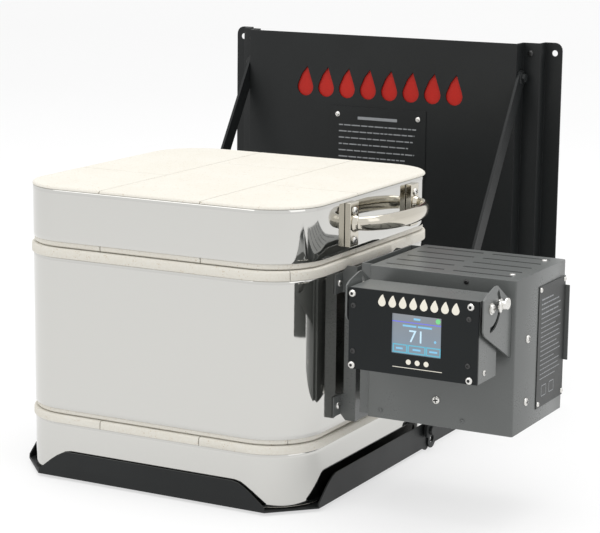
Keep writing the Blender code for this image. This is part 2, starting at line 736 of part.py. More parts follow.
# ---------------------------------------------------------------- display pod
def ear_outline():
    """Side view (y, z) of a bracket ear, from its lower rear corner round the front."""
    rear = BOX_Y[0] - AIR
    return [(rear, 166.0), (-160.0, 196.5), (-165.0, 199.5), (-167.0, 203.0), (-167.0, 232.0),
            (-160.0, 236.0), (-141.0, 241.0), (-136.0, 241.0), (-104.0, 221.0), (rear, 217.5)]


def slot_cutter(x_range):
    """Arc slot about the pivot, which the clamp screw's shank runs in."""
    y, z = PIVOT
    half = 2.6
    start, end = -94.0, 42.0
    outer = arc(y, z, SLOT_R + half, start, end, 12)
    inner = arc(y, z, SLOT_R - half, end, start, 12)
    return prism(outer + inner, "X", *x_range)


def build_bracket(ring, origin):
    """U bracket on the box front: a web and two slotted ears."""
    rear = BOX_Y[0] - AIR
    web_y = rear - EAR_SHEET
    left, right = EAR_X
    low, high = 166.0, 217.5
    side = [(web_y, low)] + ear_outline()[1:-1] + [(web_y, high)]
    right_ear = [(right, y, z) for y, z in side][::-1]
    left_ear = [(left, y, z) for y, z in side]
    web = [(left, web_y, low), (left, web_y, high), (right, web_y, high), (right, web_y, low)]
    bm = sheet([web[::-1], right_ear, left_ear])
    bmesh.ops.recalc_face_normals(bm, faces=bm.faces)
    bracket = store("display_bracket", bm, grey_coat(), origin, ring)
    thick = bracket.modifiers.new("gauge", "SOLIDIFY")
    thick.thickness = EAR_SHEET * MM
    thick.offset = 0.0
    thick.solidify_mode = "NON_MANIFOLD"
    thick.nonmanifold_thickness_mode = "CONSTRAINTS"
    spans = ((left - 4.0, left + 4.0), (right - 4.0, right + 4.0))
    cuts = [slot_cutter(span) for span in spans]
    cuts += [turned(((2.0 + HOLE_AIR, a), (2.0 + HOLE_AIR, b)), "X", PIVOT) for a, b in spans]
    boolean(bracket, merge(cuts), "slots")


def pod_axis_point():
    return (sum(EAR_X) / 2, *PIVOT)


def clamp_centre():
    return (PIVOT[0] + SLOT_R, PIVOT[1])


def build_pod(ring):
    """Tilting display pod: housing, face plate, screen, board and pivot screws."""
    point = pod_axis_point()
    pod = pivot("display_pod_joint", point)
    pod.parent = ring
    pod.location = (Vector(point) - Vector(ring.location) / MM) * MM
    holder = PodHolder(pod, point)
    (x0, x1), (y0, y1), (z0, z1) = POD_X, POD_Y, POD_Z
    t = POD_SHEET
    housing = holder.add("display_housing", block(x0, x1, y0, y1, z0, z1), grey_coat())
    boolean(housing, block(x0 + t, x1 - t, y0 - 5.0, y1 - t, z0 + t, z1 - t), "inside")
    sides = ((x0 - 4.0, x0 + 4.0), (x1 - 4.0, x1 + 4.0))
    cuts = []
    for a, b in sides:
        cuts += [turned(((2.0 + HOLE_AIR, a), (2.0 + HOLE_AIR, b)), "X", centre)
                 for centre in (PIVOT, clamp_centre())]
    boolean(housing, merge(cuts), "screw_holes")
    face = material("black_faceplate", (0.035, 0.04, 0.042), 0.35)
    plate = holder.add("display_faceplate",
                       block(x0, x1, y0 - AIR - 2.0, y0 - AIR, z0, z1), face)
    window = block(*SCREEN_X, y0 - 8.0, y0 + 8.0, *SCREEN_Z)
    boolean(plate, window, "window")
    glass = material("screen", (0.05, 0.09, 0.16), 0.15)
    holder.add("touch_screen", block(SCREEN_X[0] - 4.0, SCREEN_X[1] + 4.0, y0, y0 + 3.0,
                                     SCREEN_Z[0] - 4.0, SCREEN_Z[1] + 4.0), glass)
    pcb = material("circuit_board", (0.03, 0.16, 0.08), 0.5)
    holder.add("controller_board", block(x0 + 12.0, x1 - 12.0, y0 + 8.0, y0 + 9.6,
                                         z0 + 7.0, z1 - 7.0), pcb)
    for label, ear, side in (("left", EAR_X[0], -1), ("right", EAR_X[1], 1)):
        outside = abs(ear - point[0]) + EAR_SHEET / 2 + AIR
        profile = [(2.0, outside - 12.0), (2.0, outside), (4.4, outside), (4.4, outside + 1.6),
                   (3.0, outside + 2.8)]
        profile = [(r, point[0] + side * x) for r, x in profile]
        holder.add("pivot_screw_" + label, turned(profile, "X", PIVOT), zinc())
        build_knob(label, side, outside, point, pod)


class PodHolder:
    """Adds pieces that share the pod's pivot."""

    def __init__(self, empty, point):
        self.empty = empty
        self.point = point

    def add(self, name, bm, mat):
        obj = make_object(name, bm, mat, self.point)
        obj.parent = self.empty
        obj.location = (0.0, 0.0, 0.0)
        return obj


def build_knob(label, side, outside, point, pod):
    """Wing screw that clamps the tilt; it turns about its own axis."""
    y, z = clamp_centre()
    centre = (point[0] + side * outside, y, z)
    empty = pivot("clamp_knob_%s_joint" % label, centre)
    empty.parent = pod
    empty.location = (Vector(centre) - Vector(point)) * MM
    profile = [(2.0, outside - 10.0), (2.0, outside), (6.0, outside), (6.0, outside + 1.4),
               (4.2, outside + 1.8), (4.2, outside + 5.8), (3.0, outside + 6.6)]
    profile = [(r, point[0] + side * x) for r, x in profile]
    knob = make_object("clamp_knob_" + label, turned(profile, "X", (y, z)), zinc(), centre)
    knob.parent = empty
    knob.location = (0.0, 0.0, 0.0)
    half = 12.5
    wing = (arc(y + half - 4.0, z, 4.6, -90, 90, 6) + arc(y - half + 4.0, z, 4.6, 90, 270, 6))
    span = sorted((point[0] + side * (outside + 2.0), point[0] + side * (outside + 4.8)))
    boolean(knob, prism(wing, "X", *span), "wings", "UNION")


def raise_kiln(kiln):
    """Set the kiln, with its joints and cutters, on the tray."""
    for obj in kiln:
        if obj.parent is None:
            obj.location.z += KILN_RISE * MM


def main():
    clear_scene()
    build_tray()
    build_arms()
    build_braces()
    build_panel()
    stand = set(bpy.context.scene.objects)
    build_base()
    origin = (0.0, 0.0, RING_Z[0])
    ring = pivot("chamber_ring_joint", origin)
    holes = build_ring(ring, origin)
    build_baffle(ring, origin, holes)
    build_chassis(ring, origin)
    build_box(ring, origin)
    build_switch(ring)
    build_bracket(ring, origin)
    build_pod(ring)
    build_lid()
    raise_kiln(set(bpy.context.scene.objects) - stand)


main()
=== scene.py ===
"""Looks of a small square test kiln on its wall stand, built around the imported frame."""
import json
import math
import random

import bmesh
import bpy
from mathutils import Matrix, Vector


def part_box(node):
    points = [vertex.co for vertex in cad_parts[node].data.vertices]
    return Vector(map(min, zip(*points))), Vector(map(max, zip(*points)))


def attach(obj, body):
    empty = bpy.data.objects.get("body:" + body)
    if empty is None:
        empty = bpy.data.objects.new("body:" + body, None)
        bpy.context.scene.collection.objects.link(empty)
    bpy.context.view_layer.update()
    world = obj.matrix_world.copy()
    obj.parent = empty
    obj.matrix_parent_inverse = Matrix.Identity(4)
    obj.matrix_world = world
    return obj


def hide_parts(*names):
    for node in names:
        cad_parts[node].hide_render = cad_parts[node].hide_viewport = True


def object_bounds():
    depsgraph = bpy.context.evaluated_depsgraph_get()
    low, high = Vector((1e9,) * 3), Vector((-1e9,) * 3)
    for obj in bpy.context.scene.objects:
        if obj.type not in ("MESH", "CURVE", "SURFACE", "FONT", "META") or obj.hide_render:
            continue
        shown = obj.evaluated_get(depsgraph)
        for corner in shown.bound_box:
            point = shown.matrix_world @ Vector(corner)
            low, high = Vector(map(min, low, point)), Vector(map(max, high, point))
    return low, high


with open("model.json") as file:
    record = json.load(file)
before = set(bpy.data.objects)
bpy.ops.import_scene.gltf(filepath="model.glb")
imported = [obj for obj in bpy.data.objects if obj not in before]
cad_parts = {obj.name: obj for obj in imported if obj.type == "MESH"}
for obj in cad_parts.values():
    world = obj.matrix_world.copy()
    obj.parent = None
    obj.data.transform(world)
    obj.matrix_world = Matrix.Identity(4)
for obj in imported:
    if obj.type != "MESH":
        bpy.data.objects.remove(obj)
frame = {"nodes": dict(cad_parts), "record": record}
CAD_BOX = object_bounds()

MM = 0.001
CORNER = 57.0           # corner radius of the steel bands
CORNER_STEPS = 20       # segments in each rounded corner
BULGE = 1.6             # brick edges stand this far proud of their bands
CORE_INSET = 1.1        # brick face behind a band
JOINT_GAP = 0.3         # half the gap between two bricks
CHAMBER_CORNER = 4.0
GROOVE_HALF = 4.5
GROOVE_DEPTH = 9.0
WIRE_RADIUS = 0.6
STEPS_PER_COIL = 9.0    # path points in one turn of a heating coil
LAP_HALF = 9.0          # half width of a band's lapped joint
LAP_PROUD = 0.75
PRINT_RISE = 0.12       # printed rules stand this far off a plate or the screen
MARK_RISE = 0.16        # and the marks on the display's face
BAFFLE_SHEET = 1.8
COLLAR_HALF = (6.9, 4.6)    # half height and half depth of a handle collar
HANDLE_SIDES = 28
HANDLE_STEPS = 48
CAMERA_PLACE = (1.0486, -1.8209, 0.6168)
CAMERA_YAW, CAMERA_PITCH, CAMERA_ROLL = 28.0, 11.14, 0.63
CAMERA_LENS = 121.8
SLOT_OF = {s["node"]: s["material_slot"] for s in frame["record"]["subparts"]}
BODY_OF = {node: body for body, nodes in frame["record"]["behaviour"]["bodies"].items()
           for node in nodes}
TURNS = {"+Z": Matrix.Identity(4), "+X": Matrix.Rotation(math.radians(90), 4, "Y"),
         "-X": Matrix.Rotation(math.radians(-90), 4, "Y"),
         "+Y": Matrix.Rotation(math.radians(-90), 4, "X"),
         "-Y": Matrix.Rotation(math.radians(90), 4, "X")}
chance = random.Random(7)


def box(node):
    """Lowest and highest corner of a CAD node, in millimetres."""
    low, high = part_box(node)
    return low / MM, high / MM


def middle(node):
    low, high = box(node)
    return (low + high) / 2


# ---------------------------------------------------------------- node groups
def new_group(name, inputs, outputs):
    """An empty shader node group with named sockets."""
    group = bpy.data.node_groups.new(name, "ShaderNodeTree")
    for label, kind, value in inputs:
        socket = group.interface.new_socket(label, in_out="INPUT", socket_type="NodeSocket" + kind)
        socket.default_value = value
    for label, kind in outputs:
        group.interface.new_socket(label, in_out="OUTPUT", socket_type="NodeSocket" + kind)
    return group, group.nodes.new("NodeGroupInput"), group.nodes.new("NodeGroupOutput")


def feed(tree, value, socket):
    """Give a socket a number, a colour or another node's output."""
    if isinstance(value, tuple):
        socket.default_value = (*value, 1.0)
    elif isinstance(value, (int, float)):
        socket.default_value = value
    else:
        tree.links.new(value, socket)


def noise(tree, scale, detail=2.0, rough=0.5):
    """Noise on object coordinates; scale may be a number or a socket."""
    coords = tree.nodes.new("ShaderNodeTexCoord")
    tex = tree.nodes.new("ShaderNodeTexNoise")
    tex.inputs["Detail"].default_value = detail
    tex.inputs["Roughness"].default_value = rough
    tree.links.new(coords.outputs["Object"], tex.inputs["Vector"])
    feed(tree, scale, tex.inputs["Scale"])
    return tex.outputs["Fac"]


def spread(tree, value, low, high, to_low=0.0, to_high=1.0):
    """Map a value from one range to another, clamped."""
    node = tree.nodes.new("ShaderNodeMapRange")
    node.inputs["From Min"].default_value = low
    node.inputs["From Max"].default_value = high
    feed(tree, to_low, node.inputs["To Min"])
    feed(tree, to_high, node.inputs["To Max"])
    tree.links.new(value, node.inputs["Value"])
    return node.outputs["Result"]


def maths(tree, kind, a, b):
    node = tree.nodes.new("ShaderNodeMath")
    node.operation = kind
    feed(tree, a, node.inputs[0])
    feed(tree, b, node.inputs[1])
    return node.outputs[0]


def mixed(tree, factor, a, b):
    """Mix two colours, given as sockets or tuples."""
    node = tree.nodes.new("ShaderNodeMix")
    node.data_type = "RGBA"
    tree.links.new(factor, node.inputs[0])
    feed(tree, a, node.inputs[6])
    feed(tree, b, node.inputs[7])
    return node.outputs[2]


def mottle_group():
    """Two tones mixed by broad patches and a fine grain."""
    group, start, end = new_group(
        "mottle", [("Tone A", "Color", (0.5, 0.5, 0.5, 1)), ("Tone B", "Color", (0.4, 0.4, 0.4, 1)),
                   ("Patch Scale", "Float", 12.0), ("Grain Scale", "Float", 400.0),
                   ("Grain", "Float", 0.3)], [("Color", "Color"), ("Mask", "Float")])
    patch = spread(group, noise(group, start.outputs["Patch Scale"], 3.0), 0.35, 0.65)
    grain = spread(group, noise(group, start.outputs["Grain Scale"], 2.0), 0.3, 0.7)
    grain = maths(group, "MULTIPLY", grain, start.outputs["Grain"])
    rest = maths(group, "SUBTRACT", 1.0, start.outputs["Grain"])
    mask = maths(group, "ADD", maths(group, "MULTIPLY", patch, rest), grain)
    colour = mixed(group, mask, start.outputs["Tone A"], start.outputs["Tone B"])
    group.links.new(colour, end.inputs["Color"])
    group.links.new(mask, end.inputs["Mask"])
    return group


def polish_group():
    """Smudged roughness and the slow waves of a rolled sheet."""
    group, start, end = new_group(
        "polish", [("Low", "Float", 0.05), ("High", "Float", 0.15), ("Smudge Scale", "Float", 18.0),
                   ("Wave Scale", "Float", 9.0)], [("Roughness", "Float"), ("Height", "Float")])
    smudge = noise(group, start.outputs["Smudge Scale"], 4.0, 0.6)
    hair = noise(group, 900.0, 1.0)
    both = maths(group, "ADD", maths(group, "MULTIPLY", smudge, 0.8), maths(group, "MULTIPLY", hair, 0.2))
    rough = spread(group, both, 0.35, 0.7, start.outputs["Low"], start.outputs["High"])
    group.links.new(rough, end.inputs["Roughness"])
    group.links.new(noise(group, start.outputs["Wave Scale"], 0.0), end.inputs["Height"])
    return group


def pores_group():
    """Pits and crumbs of an insulating firebrick."""
    group, start, end = new_group(
        "pores", [("Scale", "Float", 420.0), ("Depth", "Float", 0.6)],
        [("Pit", "Float"), ("Height", "Float")])
    coords = group.nodes.new("ShaderNodeTexCoord")
    cells = group.nodes.new("ShaderNodeTexVoronoi")
    group.links.new(coords.outputs["Object"], cells.inputs["Vector"])
    group.links.new(start.outputs["Scale"], cells.inputs["Scale"])
    pit = spread(group, cells.outputs["Distance"], 0.10, 0.32, 1.0, 0.0)
    picked = spread(group, noise(group, 160.0, 2.0), 0.5, 0.62)
    pit = maths(group, "MULTIPLY", pit, picked)
    group.links.new(pit, end.inputs["Pit"])
    dip = maths(group, "MULTIPLY", pit, start.outputs["Depth"])
    crumbs = noise(group, 700.0, 4.0, 0.65)
    group.links.new(maths(group, "SUBTRACT", crumbs, dip), end.inputs["Height"])
    return group


def peel_group():
    """Fine orange peel of a powder coat."""
    group, start, end = new_group("peel", [("Scale", "Float", 900.0)], [("Height", "Float")])
    fine = noise(group, start.outputs["Scale"], 1.0)
    coarse = noise(group, 260.0, 1.0)
    group.links.new(maths(group, "ADD", fine, maths(group, "MULTIPLY", coarse, 0.5)),
                    end.inputs["Height"])
    return group


MOTTLE = mottle_group()
POLISH = polish_group()
PORES = pores_group()
PEEL = peel_group()


# ---------------------------------------------------------------- materials
def blank(name, roughness=0.5, metallic=0.0, colour=(0.5, 0.5, 0.5), coat=0.0, shine=0.5):
    mat = bpy.data.materials.new(name)
    mat.use_nodes = True
    shader = mat.node_tree.nodes["Principled BSDF"]
    shader.inputs["Roughness"].default_value = roughness
    shader.inputs["Metallic"].default_value = metallic
    shader.inputs["Base Color"].default_value = (*colour, 1.0)
    shader.inputs["Coat Weight"].default_value = coat
    shader.inputs["Specular IOR Level"].default_value = shine
    return mat, mat.node_tree, shader


def use(tree, group, **values):
    """Place a shared group in a material with its own values."""
    node = tree.nodes.new("ShaderNodeGroup")
    node.node_tree = group
    for label, value in values.items():
        value = (*value, 1.0) if isinstance(value, tuple) else value
        node.inputs[label.replace("_", " ")].default_value = value
    return node


def bump(tree, shader, height, distance, strength=1.0):
    node = tree.nodes.new("ShaderNodeBump")
    node.inputs["Distance"].default_value = distance * MM
    node.inputs["Strength"].default_value = strength
    tree.links.new(height, node.inputs["Height"])
    tree.links.new(node.outputs["Normal"], shader.inputs["Normal"])


def brick_material(name, tone_a, tone_b):
    """Soft porous firebrick with pits darkened by painted shade."""
    mat, tree, shader = blank(name, 0.95)
    base = use(tree, MOTTLE, Tone_A=tone_a, Tone_B=tone_b, Patch_Scale=22.0, Grain_Scale=520.0,
               Grain=0.7)
    pores = use(tree, PORES, Scale=430.0, Depth=0.9)
    # The pits are darkened towards brown in the colour: painted shade in the hollows, on top of the bump.
    pit_shade = maths(tree, "MULTIPLY", pores.outputs["Pit"], 0.75)
    colour = mixed(tree, pit_shade, base.outputs["Color"], (0.42, 0.31, 0.19))
    tree.links.new(colour, shader.inputs["Base Color"])
    bump(tree, shader, pores.outputs["Height"], 0.35, 0.55)
    return mat


def polished_material(name, colour, low, high, waves):
    """Mirror-polished metal sheet."""
    mat, tree, shader = blank(name, 0.1, 1.0, colour)
    polish = use(tree, POLISH, Low=low, High=high, Smudge_Scale=16.0, Wave_Scale=8.0)
    tree.links.new(polish.outputs["Roughness"], shader.inputs["Roughness"])
    bump(tree, shader, polish.outputs["Height"], waves, 1.0)
    return mat


def coated_material(name, tone_a, tone_b, rough, grain=0.05, scale=900.0, shine=0.5):
    """Powder-coated sheet steel."""
    mat, tree, shader = blank(name, rough, shine=shine)
    base = use(tree, MOTTLE, Tone_A=tone_a, Tone_B=tone_b, Patch_Scale=14.0, Grain_Scale=700.0, Grain=0.5)
    tree.links.new(base.outputs["Color"], shader.inputs["Base Color"])
    tree.links.new(spread(tree, base.outputs["Mask"], 0.0, 1.0, rough - 0.05, rough + 0.06),
                   shader.inputs["Roughness"])
    peel = use(tree, PEEL, Scale=scale)
    bump(tree, shader, peel.outputs["Height"], grain, 0.6)
    return mat


def metal_material(name, tone_a, tone_b, low, high):
    """Plated fastener metal, faintly spotted."""
    mat, tree, shader = blank(name, low, 1.0)
    base = use(tree, MOTTLE, Tone_A=tone_a, Tone_B=tone_b, Patch_Scale=120.0, Grain_Scale=1500.0, Grain=0.5)
    tree.links.new(base.outputs["Color"], shader.inputs["Base Color"])
    tree.links.new(spread(tree, base.outputs["Mask"], 0.0, 1.0, low, high), shader.inputs["Roughness"])
    return mat


def screen_material():
    """Lit display: a blue gradient from top to bottom."""
    mat, tree, shader = blank("lit_screen", 0.12, 0.0, (0.01, 0.01, 0.015))
    low, high = box("touch_screen")
    coords = tree.nodes.new("ShaderNodeTexCoord")
    axes = tree.nodes.new("ShaderNodeSeparateXYZ")
    tree.links.new(coords.outputs["Object"], axes.inputs[0])
    rise = spread(tree, axes.outputs["Z"], low.z * MM, high.z * MM)
    ramp = tree.nodes.new("ShaderNodeValToRGB")
    stops = ((0.0, (0.20, 0.29, 0.36)), (0.4, (0.21, 0.26, 0.31)), (0.75, (0.22, 0.25, 0.28)),
             (1.0, (0.25, 0.25, 0.26)))
    for i, (place, colour) in enumerate(stops):
        stop = ramp.color_ramp.elements[i] if i < 2 else ramp.color_ramp.elements.new(place)
        stop.position = place
        stop.color = (*colour, 1.0)
    tree.links.new(rise, ramp.inputs["Fac"])
    haze = mixed(tree, spread(tree, noise(tree, 60.0), 0.3, 0.7, 0.0, 0.25), ramp.outputs["Color"],
                 (0.26, 0.31, 0.36))
    tree.links.new(haze, shader.inputs["Emission Color"])
    shader.inputs["Emission Strength"].default_value = 1.0
    return mat


def lit_material(name, colour, strength):
    """Glowing mark on the display, faintly grainy."""
    mat, tree, shader = blank(name, 0.4, 0.0, (0.02, 0.02, 0.02))
    glow = mixed(tree, spread(tree, noise(tree, 2500.0), 0.3, 0.7, 0.0, 0.2), colour,
                 tuple(c * 0.8 for c in colour))
    tree.links.new(glow, shader.inputs["Emission Color"])
    shader.inputs["Emission Strength"].default_value = strength
    return mat


def laminated_material():
    """Transformer core of thin stacked plates."""
    mat, tree, shader = blank("laminated_core", 0.5, 0.7)
    coords = tree.nodes.new("ShaderNodeTexCoord")
    wave = tree.nodes.new("ShaderNodeTexWave")
    wave.bands_direction = "Z"
    wave.inputs["Scale"].default_value = 160.0
    tree.links.new(coords.outputs["Object"], wave.inputs["Vector"])
    colour = mixed(tree, wave.outputs["Fac"], (0.16, 0.16, 0.17), (0.36, 0.36, 0.37))
    tree.links.new(colour, shader.inputs["Base Color"])
    bump(tree, shader, wave.outputs["Fac"], 0.2, 0.6)
    return mat


MAT = {
    "brick": brick_material("firebrick_cream", (0.645, 0.628, 0.575), (0.605, 0.575, 0.505)),
    "band": polished_material("polished_band", (0.605, 0.60, 0.575), 0.035, 0.10, 0.35),
    "chrome": polished_material("nickel_handle", (0.60, 0.565, 0.49), 0.08, 0.20, 0.12),
    "black": coated_material("black_powder_coat", (0.0105, 0.0120, 0.0122),
                             (0.0070, 0.0080, 0.0082), 0.42, shine=0.28),
    "grey": coated_material("grey_powder_coat", (0.106, 0.112, 0.109),
                            (0.094, 0.100, 0.097), 0.30, 0.02, shine=0.6),
    "face": coated_material("face_film", (0.0075, 0.0095, 0.0100),
                            (0.0055, 0.0072, 0.0078), 0.36, 0.01, 1600.0, 0.22),
    "label": coated_material("label_film", (0.034, 0.036, 0.035),
                             (0.026, 0.028, 0.027), 0.40, 0.01, 1600.0, 0.3),
    "print": coated_material("white_print", (0.80, 0.765, 0.67), (0.72, 0.685, 0.59), 0.5, 0.01),
    "grey_print": coated_material("grey_print", (0.27, 0.28, 0.29), (0.22, 0.23, 0.24), 0.5, 0.01),
    "red": coated_material("red_enamel", (0.46, 0.014, 0.007),
                           (0.38, 0.010, 0.005), 0.4, 0.03, shine=0.25),
    "rubber": coated_material("foot_rubber", (0.030, 0.030, 0.030), (0.020, 0.020, 0.020), 0.8, 0.08),
    "plastic": coated_material("moulded_black", (0.024, 0.024, 0.025),
                               (0.017, 0.017, 0.018), 0.42, 0.04),
    "board": coated_material("green_board", (0.020, 0.17, 0.075),
                             (0.012, 0.12, 0.05), 0.35, 0.06, 300.0),
    "tube": coated_material("ceramic_tube", (0.80, 0.76, 0.68), (0.72, 0.67, 0.58), 0.6, 0.06),
    "wire": coated_material("oxidised_wire", (0.16, 0.14, 0.13), (0.10, 0.09, 0.085), 0.55, 0.05),
    "zinc": metal_material("zinc_plate", (0.78, 0.77, 0.74), (0.66, 0.65, 0.62), 0.20, 0.34),
    "dark_screw": metal_material("black_oxide", (0.085, 0.085, 0.085), (0.05, 0.05, 0.05), 0.32, 0.46),
    "brass": metal_material("brass_terminal", (0.75, 0.56, 0.25), (0.62, 0.45, 0.19), 0.25, 0.4),
    "core": laminated_material(),
    "screen": screen_material(),
    "lit_white": lit_material("lit_white", (0.60, 0.85, 1.0), 1.0),
    "lit_blue": lit_material("lit_blue", (0.22, 0.58, 0.85), 1.0),
    "lit_cyan": lit_material("lit_cyan", (0.12, 0.48, 0.64), 1.0),
    "lit_violet": lit_material("lit_violet", (0.16, 0.17, 0.80), 1.0),
    "lit_green": lit_material("lit_green", (0.18, 0.70, 0.26), 1.0)}
FINISH = {"firebrick": "brick", "polished_steel": "band", "black_coat": "black", "grey_coat": "grey",
          "red_enamel": "red", "zinc": "zinc", "rubber": "rubber", "element_wire": "wire",
          "ceramic_tube": "tube", "black_face": "face", "screen": "screen", "circuit_board": "board",
          "black_plastic": "plastic", "transformer_core": "core"}


# ---------------------------------------------------------------- pieces
def placed(name, data):
    """An object for some data, in the scene."""
    obj = bpy.data.objects.new(name, data)
    bpy.context.scene.collection.objects.link(obj)
    return obj


def seated(place, facing):
    """Turn a part standing on Z to face a way, at a place."""
    return Matrix.Translation(place) @ TURNS[facing]


def verts_in(geometry):
    return [g for g in geometry if isinstance(g, bmesh.types.BMVert)]


def edges_in(geometry):
    return [g for g in geometry if isinstance(g, bmesh.types.BMEdge)]


def piece(name, bm, finish, body, replaces=(), sharp=32.0):
    """Store a millimetre bmesh as a finished piece that rides on a body."""
    bmesh.ops.transform(bm, matrix=Matrix.Scale(MM, 4), verts=bm.verts)
    mesh = bpy.data.meshes.new(name)
    bm.to_mesh(mesh)
    bm.free()
    mesh.shade_smooth()
    mesh.set_sharp_from_angle(angle=math.radians(sharp))
    mesh.materials.append(MAT[finish])
    obj = placed(name, mesh)
    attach(obj, body)
    if replaces:
        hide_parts(*replaces)
    return obj


def stands_for(node, bm, finish=None, sharp=32.0):
    """A finished piece in place of one CAD node, on the node's body and slot."""
    finish = finish or FINISH[SLOT_OF[node]]
    return piece(node + "_shape", bm, finish, BODY_OF[node], (node,), sharp)


def ease_edges(obj, width, segments=2, angle=40.0):
    bevel = obj.modifiers.new("eased_edges", "BEVEL")
    bevel.width = width * MM
    bevel.segments = segments
    bevel.limit_method = "ANGLE"
    bevel.angle_limit = math.radians(angle)
    bevel.harden_normals = True
    return obj


def eased_copy(node, width=0.4, finish=None):
    """A CAD node's own shape with its flat faces joined up and its edges eased."""
    bm = bmesh.new()
    bm.from_mesh(frame["nodes"][node].data)
    bmesh.ops.remove_doubles(bm, verts=bm.verts, dist=1e-6)
    bmesh.ops.dissolve_limit(bm, angle_limit=math.radians(0.4), verts=bm.verts, edges=bm.edges)
    bmesh.ops.transform(bm, matrix=Matrix.Scale(1 / MM, 4), verts=bm.verts)
    return ease_edges(stands_for(node, bm, finish), width)


def finish_in_place(node, finish):
    """Keep a hidden CAD node and give it its material."""
    frame["nodes"][node].material_slots[0].material = MAT[finish]


def join(parts):
    """Put several bmeshes in one, freeing them."""
    whole = bmesh.new()
    for part in parts:
        mesh = bpy.data.meshes.new("part")
        part.to_mesh(mesh)
        part.free()
        whole.from_mesh(mesh)
        bpy.data.meshes.remove(mesh)
    return whole


def copied(bm, matrix):
    new = bm.copy()
    bmesh.ops.transform(new, matrix=matrix, verts=new.verts)
    return new


def slab(low, high):
    """A box between two corners."""
    bm = bmesh.new()
    low, high = Vector(low), Vector(high)
    size = high - low
    matrix = Matrix.Translation((low + high) / 2) @ Matrix.Diagonal((*size, 1.0))
    bmesh.ops.create_cube(bm, size=1.0, matrix=matrix)
    return bm


def turned(profile, steps=32):
    """A turned solid about Z from (radius, height) pairs, the first and last on the axis."""
    bm = bmesh.new()
    verts = [bm.verts.new((r, 0.0, z)) for r, z in profile]
    edges = [bm.edges.new(pair) for pair in zip(verts, verts[1:])]
    bmesh.ops.spin(bm, geom=verts + edges, cent=(0, 0, 0), axis=(0, 0, 1), dvec=(0, 0, 0),
                   angle=math.tau, steps=steps, use_merge=True, use_duplicate=False)
    bmesh.ops.remove_doubles(bm, verts=bm.verts, dist=1e-4)
    bmesh.ops.recalc_face_normals(bm, faces=bm.faces)
    return bm


def plate(outline, thick):
    """A flat outline in XY raised to a thickness."""
    bm = bmesh.new()
    face = bm.faces.new([bm.verts.new((x, y, 0.0)) for x, y in outline])
    raised = bmesh.ops.extrude_face_region(bm, geom=[face])
    bmesh.ops.translate(bm, vec=(0, 0, thick), verts=verts_in(raised["geom"]))
    bmesh.ops.recalc_face_normals(bm, faces=bm.faces)
    return bm


def carved(bm, cutter, operation="DIFFERENCE"):
    """The first solid less (or with) the second, worked out once."""
    objects = []
    for part in (bm, cutter):
        mesh = bpy.data.meshes.new("carving")
        part.to_mesh(mesh)
        part.free()
        objects.append(placed("carving", mesh))
    cut = objects[0].modifiers.new("cut", "BOOLEAN")
    cut.operation = operation
    cut.solver = "EXACT"
    cut.object = objects[1]
    graph = bpy.context.evaluated_depsgraph_get()
    result = bmesh.new()
    result.from_object(objects[0], graph)
    for obj in objects:
        bpy.data.objects.remove(obj)
    return result


def tube(points, radius, closed=False, sides=2):
    """A round wire along points, as a millimetre bmesh."""
    curve = bpy.data.curves.new("wire", "CURVE")
    curve.dimensions = "3D"
    spline = curve.splines.new("POLY")
    spline.points.add(len(points) - 1)
    for target, point in zip(spline.points, points):
        target.co = (*point, 1.0)
    spline.use_cyclic_u = closed
    curve.bevel_depth = radius
    curve.bevel_resolution = sides
    curve.use_fill_caps = True
    obj = placed("wire", curve)
    bm = bmesh.new()
    mesh = obj.to_mesh()
    bm.from_mesh(mesh)
    obj.to_mesh_clear()
    bpy.data.objects.remove(obj)
    bmesh.ops.remove_doubles(bm, verts=bm.verts, dist=1e-4)
    bmesh.ops.recalc_face_normals(bm, faces=bm.faces)
    return bm


# ---------------------------------------------------------------- kiln body
def wrapped(profile, half, corner):
    """Sweep an (inset, height) profile round a square with round corners."""
    bm = bmesh.new()
    flat = half - corner
    verts = [bm.verts.new((half - inset, -flat, z)) for inset, z in profile]
    live = verts + [bm.edges.new(pair) for pair in zip(verts, verts[1:])]
    for k in range(4):
        turn = Matrix.Rotation(math.radians(90 * k), 3, "Z")
        for length in (6.0, 2 * flat - 12.0, 6.0):
            live = bmesh.ops.extrude_edge_only(bm, edges=edges_in(live))["geom"]
            bmesh.ops.translate(bm, vec=turn @ Vector((0, length, 0)), verts=verts_in(live))
            live = [g for g in live if not isinstance(g, bmesh.types.BMFace)]
        spun = bmesh.ops.spin(bm, geom=live, cent=turn @ Vector((flat, flat, 0)), axis=(0, 0, 1),
                              dvec=(0, 0, 0), angle=math.radians(90), steps=CORNER_STEPS,
                              use_merge=False, use_duplicate=False)
        live = [g for g in spun["geom_last"] if not isinstance(g, bmesh.types.BMFace)]
    bmesh.ops.remove_doubles(bm, verts=bm.verts, dist=1e-3)
    return bm


def solid_section(profile, half):
    """A wrapped profile closed above and below."""
    bm = wrapped(profile, half, CORNER)
    bmesh.ops.holes_fill(bm, edges=[e for e in bm.edges if e.is_boundary], sides=0)
    bmesh.ops.recalc_face_normals(bm, faces=bm.faces)
    return bm


def keep_behind(bm, point, normal):
    """Cut a solid by a plane and close it, keeping what lies behind."""
    cut = bmesh.ops.bisect_plane(bm, geom=bm.verts[:] + bm.edges[:] + bm.faces[:], plane_co=point,
                                 plane_no=normal, clear_outer=True, dist=1e-4)
    bmesh.ops.edgeloop_fill(bm, edges=edges_in(cut["geom_cut"]))


def brick_profile(low, high, band_low, band_high, bulge=BULGE):
    """Outer face of a brick layer: behind its band, then proud and rounded above it."""
    return [(CORE_INSET + 4.5, low), (CORE_INSET + 0.9, low + 0.7), (CORE_INSET, low + 1.8),
            (CORE_INSET, band_low), (CORE_INSET, band_high + 0.1), (-bulge, band_high + 0.3),
            (-bulge - 0.1, band_high + 0.8), (-bulge, high - 2.0), (-bulge + 0.35, high - 1.1),
            (-bulge + 1.1, high - 0.4), (1.4, high)]


